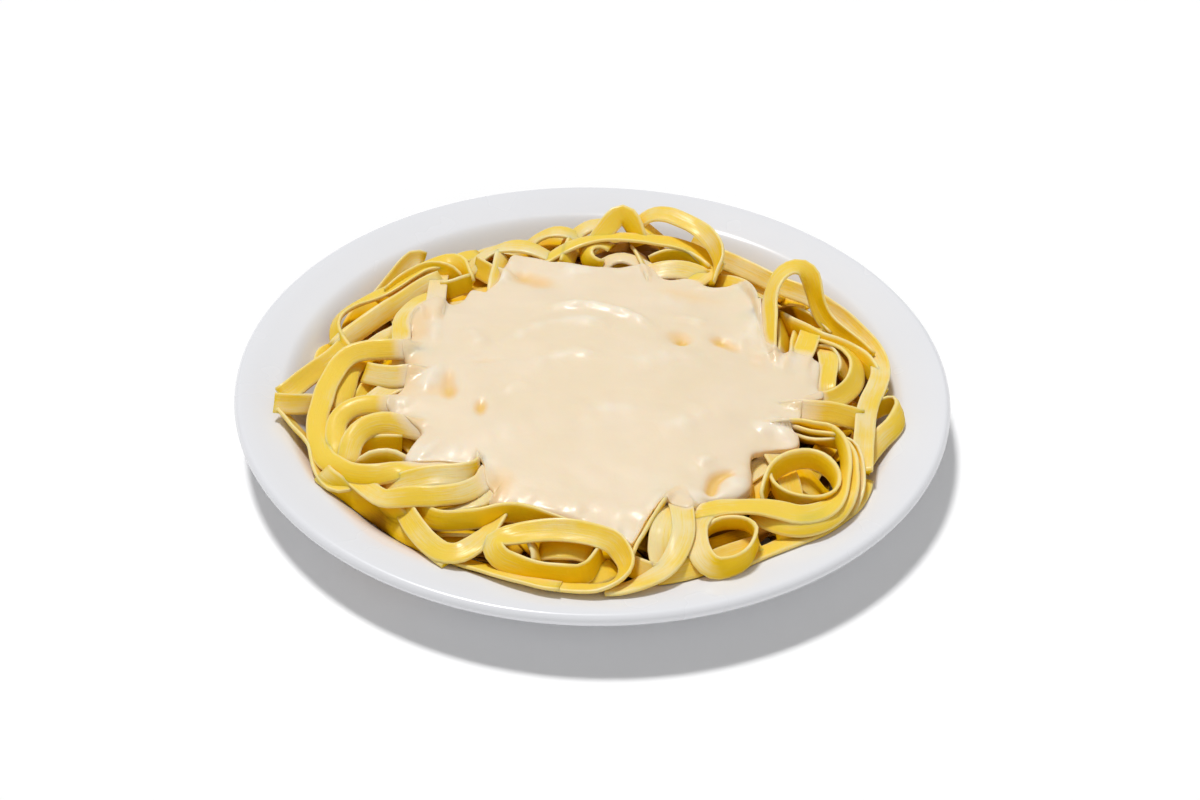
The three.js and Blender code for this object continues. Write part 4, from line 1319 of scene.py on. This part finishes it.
def dome_level(x, y):
    """Height of the dome between the points of its grid."""
    at_x, at_y = (x - dome_axis[0]) / DOME_PITCH, (y - dome_axis[0]) / DOME_PITCH
    i, j = at_x.astype(int), at_y.astype(int)
    s, t = at_x - i, at_y - j
    low = dome[i, j] * (1 - s) + dome[i + 1, j] * s
    high = dome[i, j + 1] * (1 - s) + dome[i + 1, j + 1] * s
    return low * (1 - t) + high * t


# Rings of points shrink from the edge to the middle, closer together towards the edge
RING_DEPTHS = np.concatenate(
    ([0.0, 0.1, 0.25, 0.45, 0.75], np.arange(1.1, 14, 0.45), np.arange(14, 34, 0.8), np.arange(34, 62, 1.1))
)
INNERMOST_RING = 0.03
spokes = sauce_edge[:, :2] - SAUCE_CENTRE
shares = 1 - RING_DEPTHS / RING_DEPTHS[-1] * (1 - INNERMOST_RING)
rings_xy = SAUCE_CENTRE + spokes[None] * shares[:, None, None]
ring_x, ring_y = rings_xy[..., 0], rings_xy[..., 1]
inset = np.maximum(edge_distance(ring_x, ring_y).reshape(ring_x.shape), 0)
inset[0] = 0

# The body of the sauce comes down to its brim and is rounded off over its lip
rounding = np.sqrt(1 - (1 - np.clip(inset / (lip * 1.5), 0, 1)) ** 2)
level = dome_level(ring_x, ring_y) + relief(ring_x, ring_y)
body = level - (level[0] - brim) * (1 - np.clip(inset / EDGE_BAND, 0, 1)) ** 2 - lip * (1 - rounding)

# Where noodles stand higher than that, a film of sauce runs over them instead
bed_height = bed.read(ring_x, ring_y)
seat_height = seat.read(ring_x, ring_y)
film = bed_height + (seat_height - bed_height) * np.clip(inset / EDGE_BAND, 0, 1) * 0.8
film += 0.6 * np.minimum(lip, 1.2) * rounding + 0.5 * np.clip(inset / 5, 0, 1) - 0.2
top = SOFTNESS * np.logaddexp(body / SOFTNESS, film / SOFTNESS)
thin = np.clip(1.15 - (top - bed_height) / THIN_FILM, 0, 1)

# The underside of the lip, turned in: how far inside the edge and how far below it, in lips
LIP_UNDERSIDE = [(-0.12, 0.4), (0.05, 0.8), (0.7, 1.15), (2.5, 1.5)]
layers = [np.dstack((rings_xy, top))[::-1]]
inward = unit(-spokes)
for inside, below in LIP_UNDERSIDE:
    underside = sauce_edge[:, :2] + inward * inside * lip[:, None]
    layers.append(np.column_stack((underside, top[0] - below * (lip + 0.6)))[None])
layers = np.concatenate(layers)
points = np.vstack(((*SAUCE_CENTRE, top[-1].mean()), layers.reshape(-1, 3), (*SAUCE_CENTRE, SAUCE_FLOOR)))
thinness = np.concatenate(([0], thin[::-1].ravel(), np.tile(thin[0], len(LIP_UNDERSIDE)), [0]))
gold = sum(shows * nearness(*points[:, :2].T, *oval) for *oval, _, shows in DENTS)


def sauce_finish():
    """Opaque cream with a moist skin: warm where it thins out over the noodles and golden in its dents,
    there partly as painted shade; painted shade on its steep faces and a painted highlight on its fold
    crests.
    """
    finish = Finish("cream_sauce")
    place = finish.place()
    cloud = finish.noise(place, 35, 3)
    flow = finish.noise(place, 160, 3)
    fine = finish.noise(place, 650, 2)
    drawn_out = finish.node("Mapping", {}, {"Vector": place, "Scale": (0.4, 1, 1)})["Vector"]
    drawn = finish.noise(drawn_out, 80, 3)
    colour = finish.mix(finish.ramp(cloud, 0.3, 0.7), SAUCE_COLOUR, SAUCE_PALE)
    # The crests of the folds, and streaks beside them, are painted paler: a painted highlight
    ridge = finish.attribute("ridge") + (drawn - 0.5) * 2.4
    colour = finish.mix(finish.ramp(ridge, 0.3, 1.3) * 0.8, colour, SAUCE_PAINTED_HIGHLIGHT)
    thin = finish.attribute("thin") + (flow - 0.5) * 0.7
    colour = finish.mix(finish.ramp(thin, 0.5, 1.2) * 0.6, colour, SAUCE_THIN_FILM_AND_SHADE)
    # Steep faces of the sauce are painted peach: painted shade
    colour = finish.mix(finish.ramp(finish.upward(), 0.9, 0.2) * 0.8, colour, SAUCE_THIN_FILM_AND_SHADE)
    gold = finish.attribute("gold") + (flow - 0.5) * 0.25
    colour = finish.mix(finish.ramp(gold, 0.12, 0.6), colour, SAUCE_THIN_FILM_AND_SHADE)
    colour = finish.mix(finish.ramp(gold, 0.5, 1.0), colour, SAUCE_GOLD)
    return finish.close(
        {
            "Base Color": colour,
            "Roughness": finish.ramp(flow, 0.3, 0.7, 0.36, 0.5),
            "Normal": finish.bump(cloud + drawn * 0.7 + flow * 0.3 + fine * 0.05, 0.35, 0.8),
            "IOR": 1.42,
            "Specular IOR Level": 0.4,
            "Subsurface Weight": 0.4,
            "Subsurface Radius": (1.0, 0.7, 0.4),
            "Subsurface Scale": 3 * MM,
            "Coat Weight": finish.ramp(drawn, 0.4, 0.65, 0.04, 0.34),
            "Coat Roughness": 0.19,
        }
    )


sauce_faces = disc_faces(len(layers), SAUCE_SEGMENTS, len(points) - 1)
sauce = new_piece("sauce", points, sauce_faces, sauce_finish())
set_attribute(sauce, "thin", thinness)
set_attribute(sauce, "gold", gold)
set_attribute(sauce, "ridge", ridges(*points[:, :2].T))
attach(sauce, "root")
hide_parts("alfredo_sauce")


# ---------------------------------------------------------------------------
# Table and light
# A plain white table top under one soft high light from the back left, with an
# even pale surround.

TABLE_SIZE = 6.0
TABLE_COLOUR = (0.95, 0.95, 0.95)
TABLE_PALE = (0.96, 0.96, 0.96)
LIGHT_ELEVATION = math.radians(71.5)
LIGHT_AZIMUTH = math.radians(126)
LIGHT_STRENGTH = 2.15
LIGHT_SPREAD = math.radians(9)
FILL_ELEVATION = math.radians(18)
FILL_AZIMUTH = math.radians(-80)
FILL_STRENGTH = 0.45
FILL_SPREAD = math.radians(80)
SURROUND_COLOUR = (1.0, 1.0, 1.0)
SURROUND_STRENGTH = 0.36

table_finish = Finish("table_top")
table_noise = table_finish.noise(table_finish.place(), 30)
table = new_piece(
    "table_top",
    np.array([(-1, -1, 0), (1, -1, 0), (1, 1, 0), (-1, 1, 0)]) * TABLE_SIZE / 2 / MM,
    [(0, 1, 2, 3)],
    table_finish.close(
        {
            "Base Color": table_finish.mix(table_noise, TABLE_COLOUR, TABLE_PALE),
            "Roughness": 0.9,
            "Specular IOR Level": 0.1,
        }
    ),
)


def far_light(name, elevation, azimuth, strength, spread):
    """A light from far off, in that direction from the plate."""
    data = bpy.data.lights.new(name, "SUN")
    data.energy = strength
    data.angle = spread
    light = bpy.data.objects.new(name, data)
    tip = Matrix.Rotation(math.pi / 2 - elevation, 4, "X")
    light.matrix_world = Matrix.Rotation(azimuth + math.pi / 2, 4, "Z") @ tip
    bpy.context.scene.collection.objects.link(light)


far_light("high_light", LIGHT_ELEVATION, LIGHT_AZIMUTH, LIGHT_STRENGTH, LIGHT_SPREAD)
far_light("front_fill", FILL_ELEVATION, FILL_AZIMUTH, FILL_STRENGTH, FILL_SPREAD)

world = bpy.data.worlds.new("surround")
world.use_nodes = True
background = world.node_tree.nodes["Background"]
background.inputs["Color"].default_value = (*SURROUND_COLOUR, 1)
background.inputs["Strength"].default_value = SURROUND_STRENGTH
bpy.context.scene.world = world
bpy.context.scene.view_settings.view_transform = "Standard"
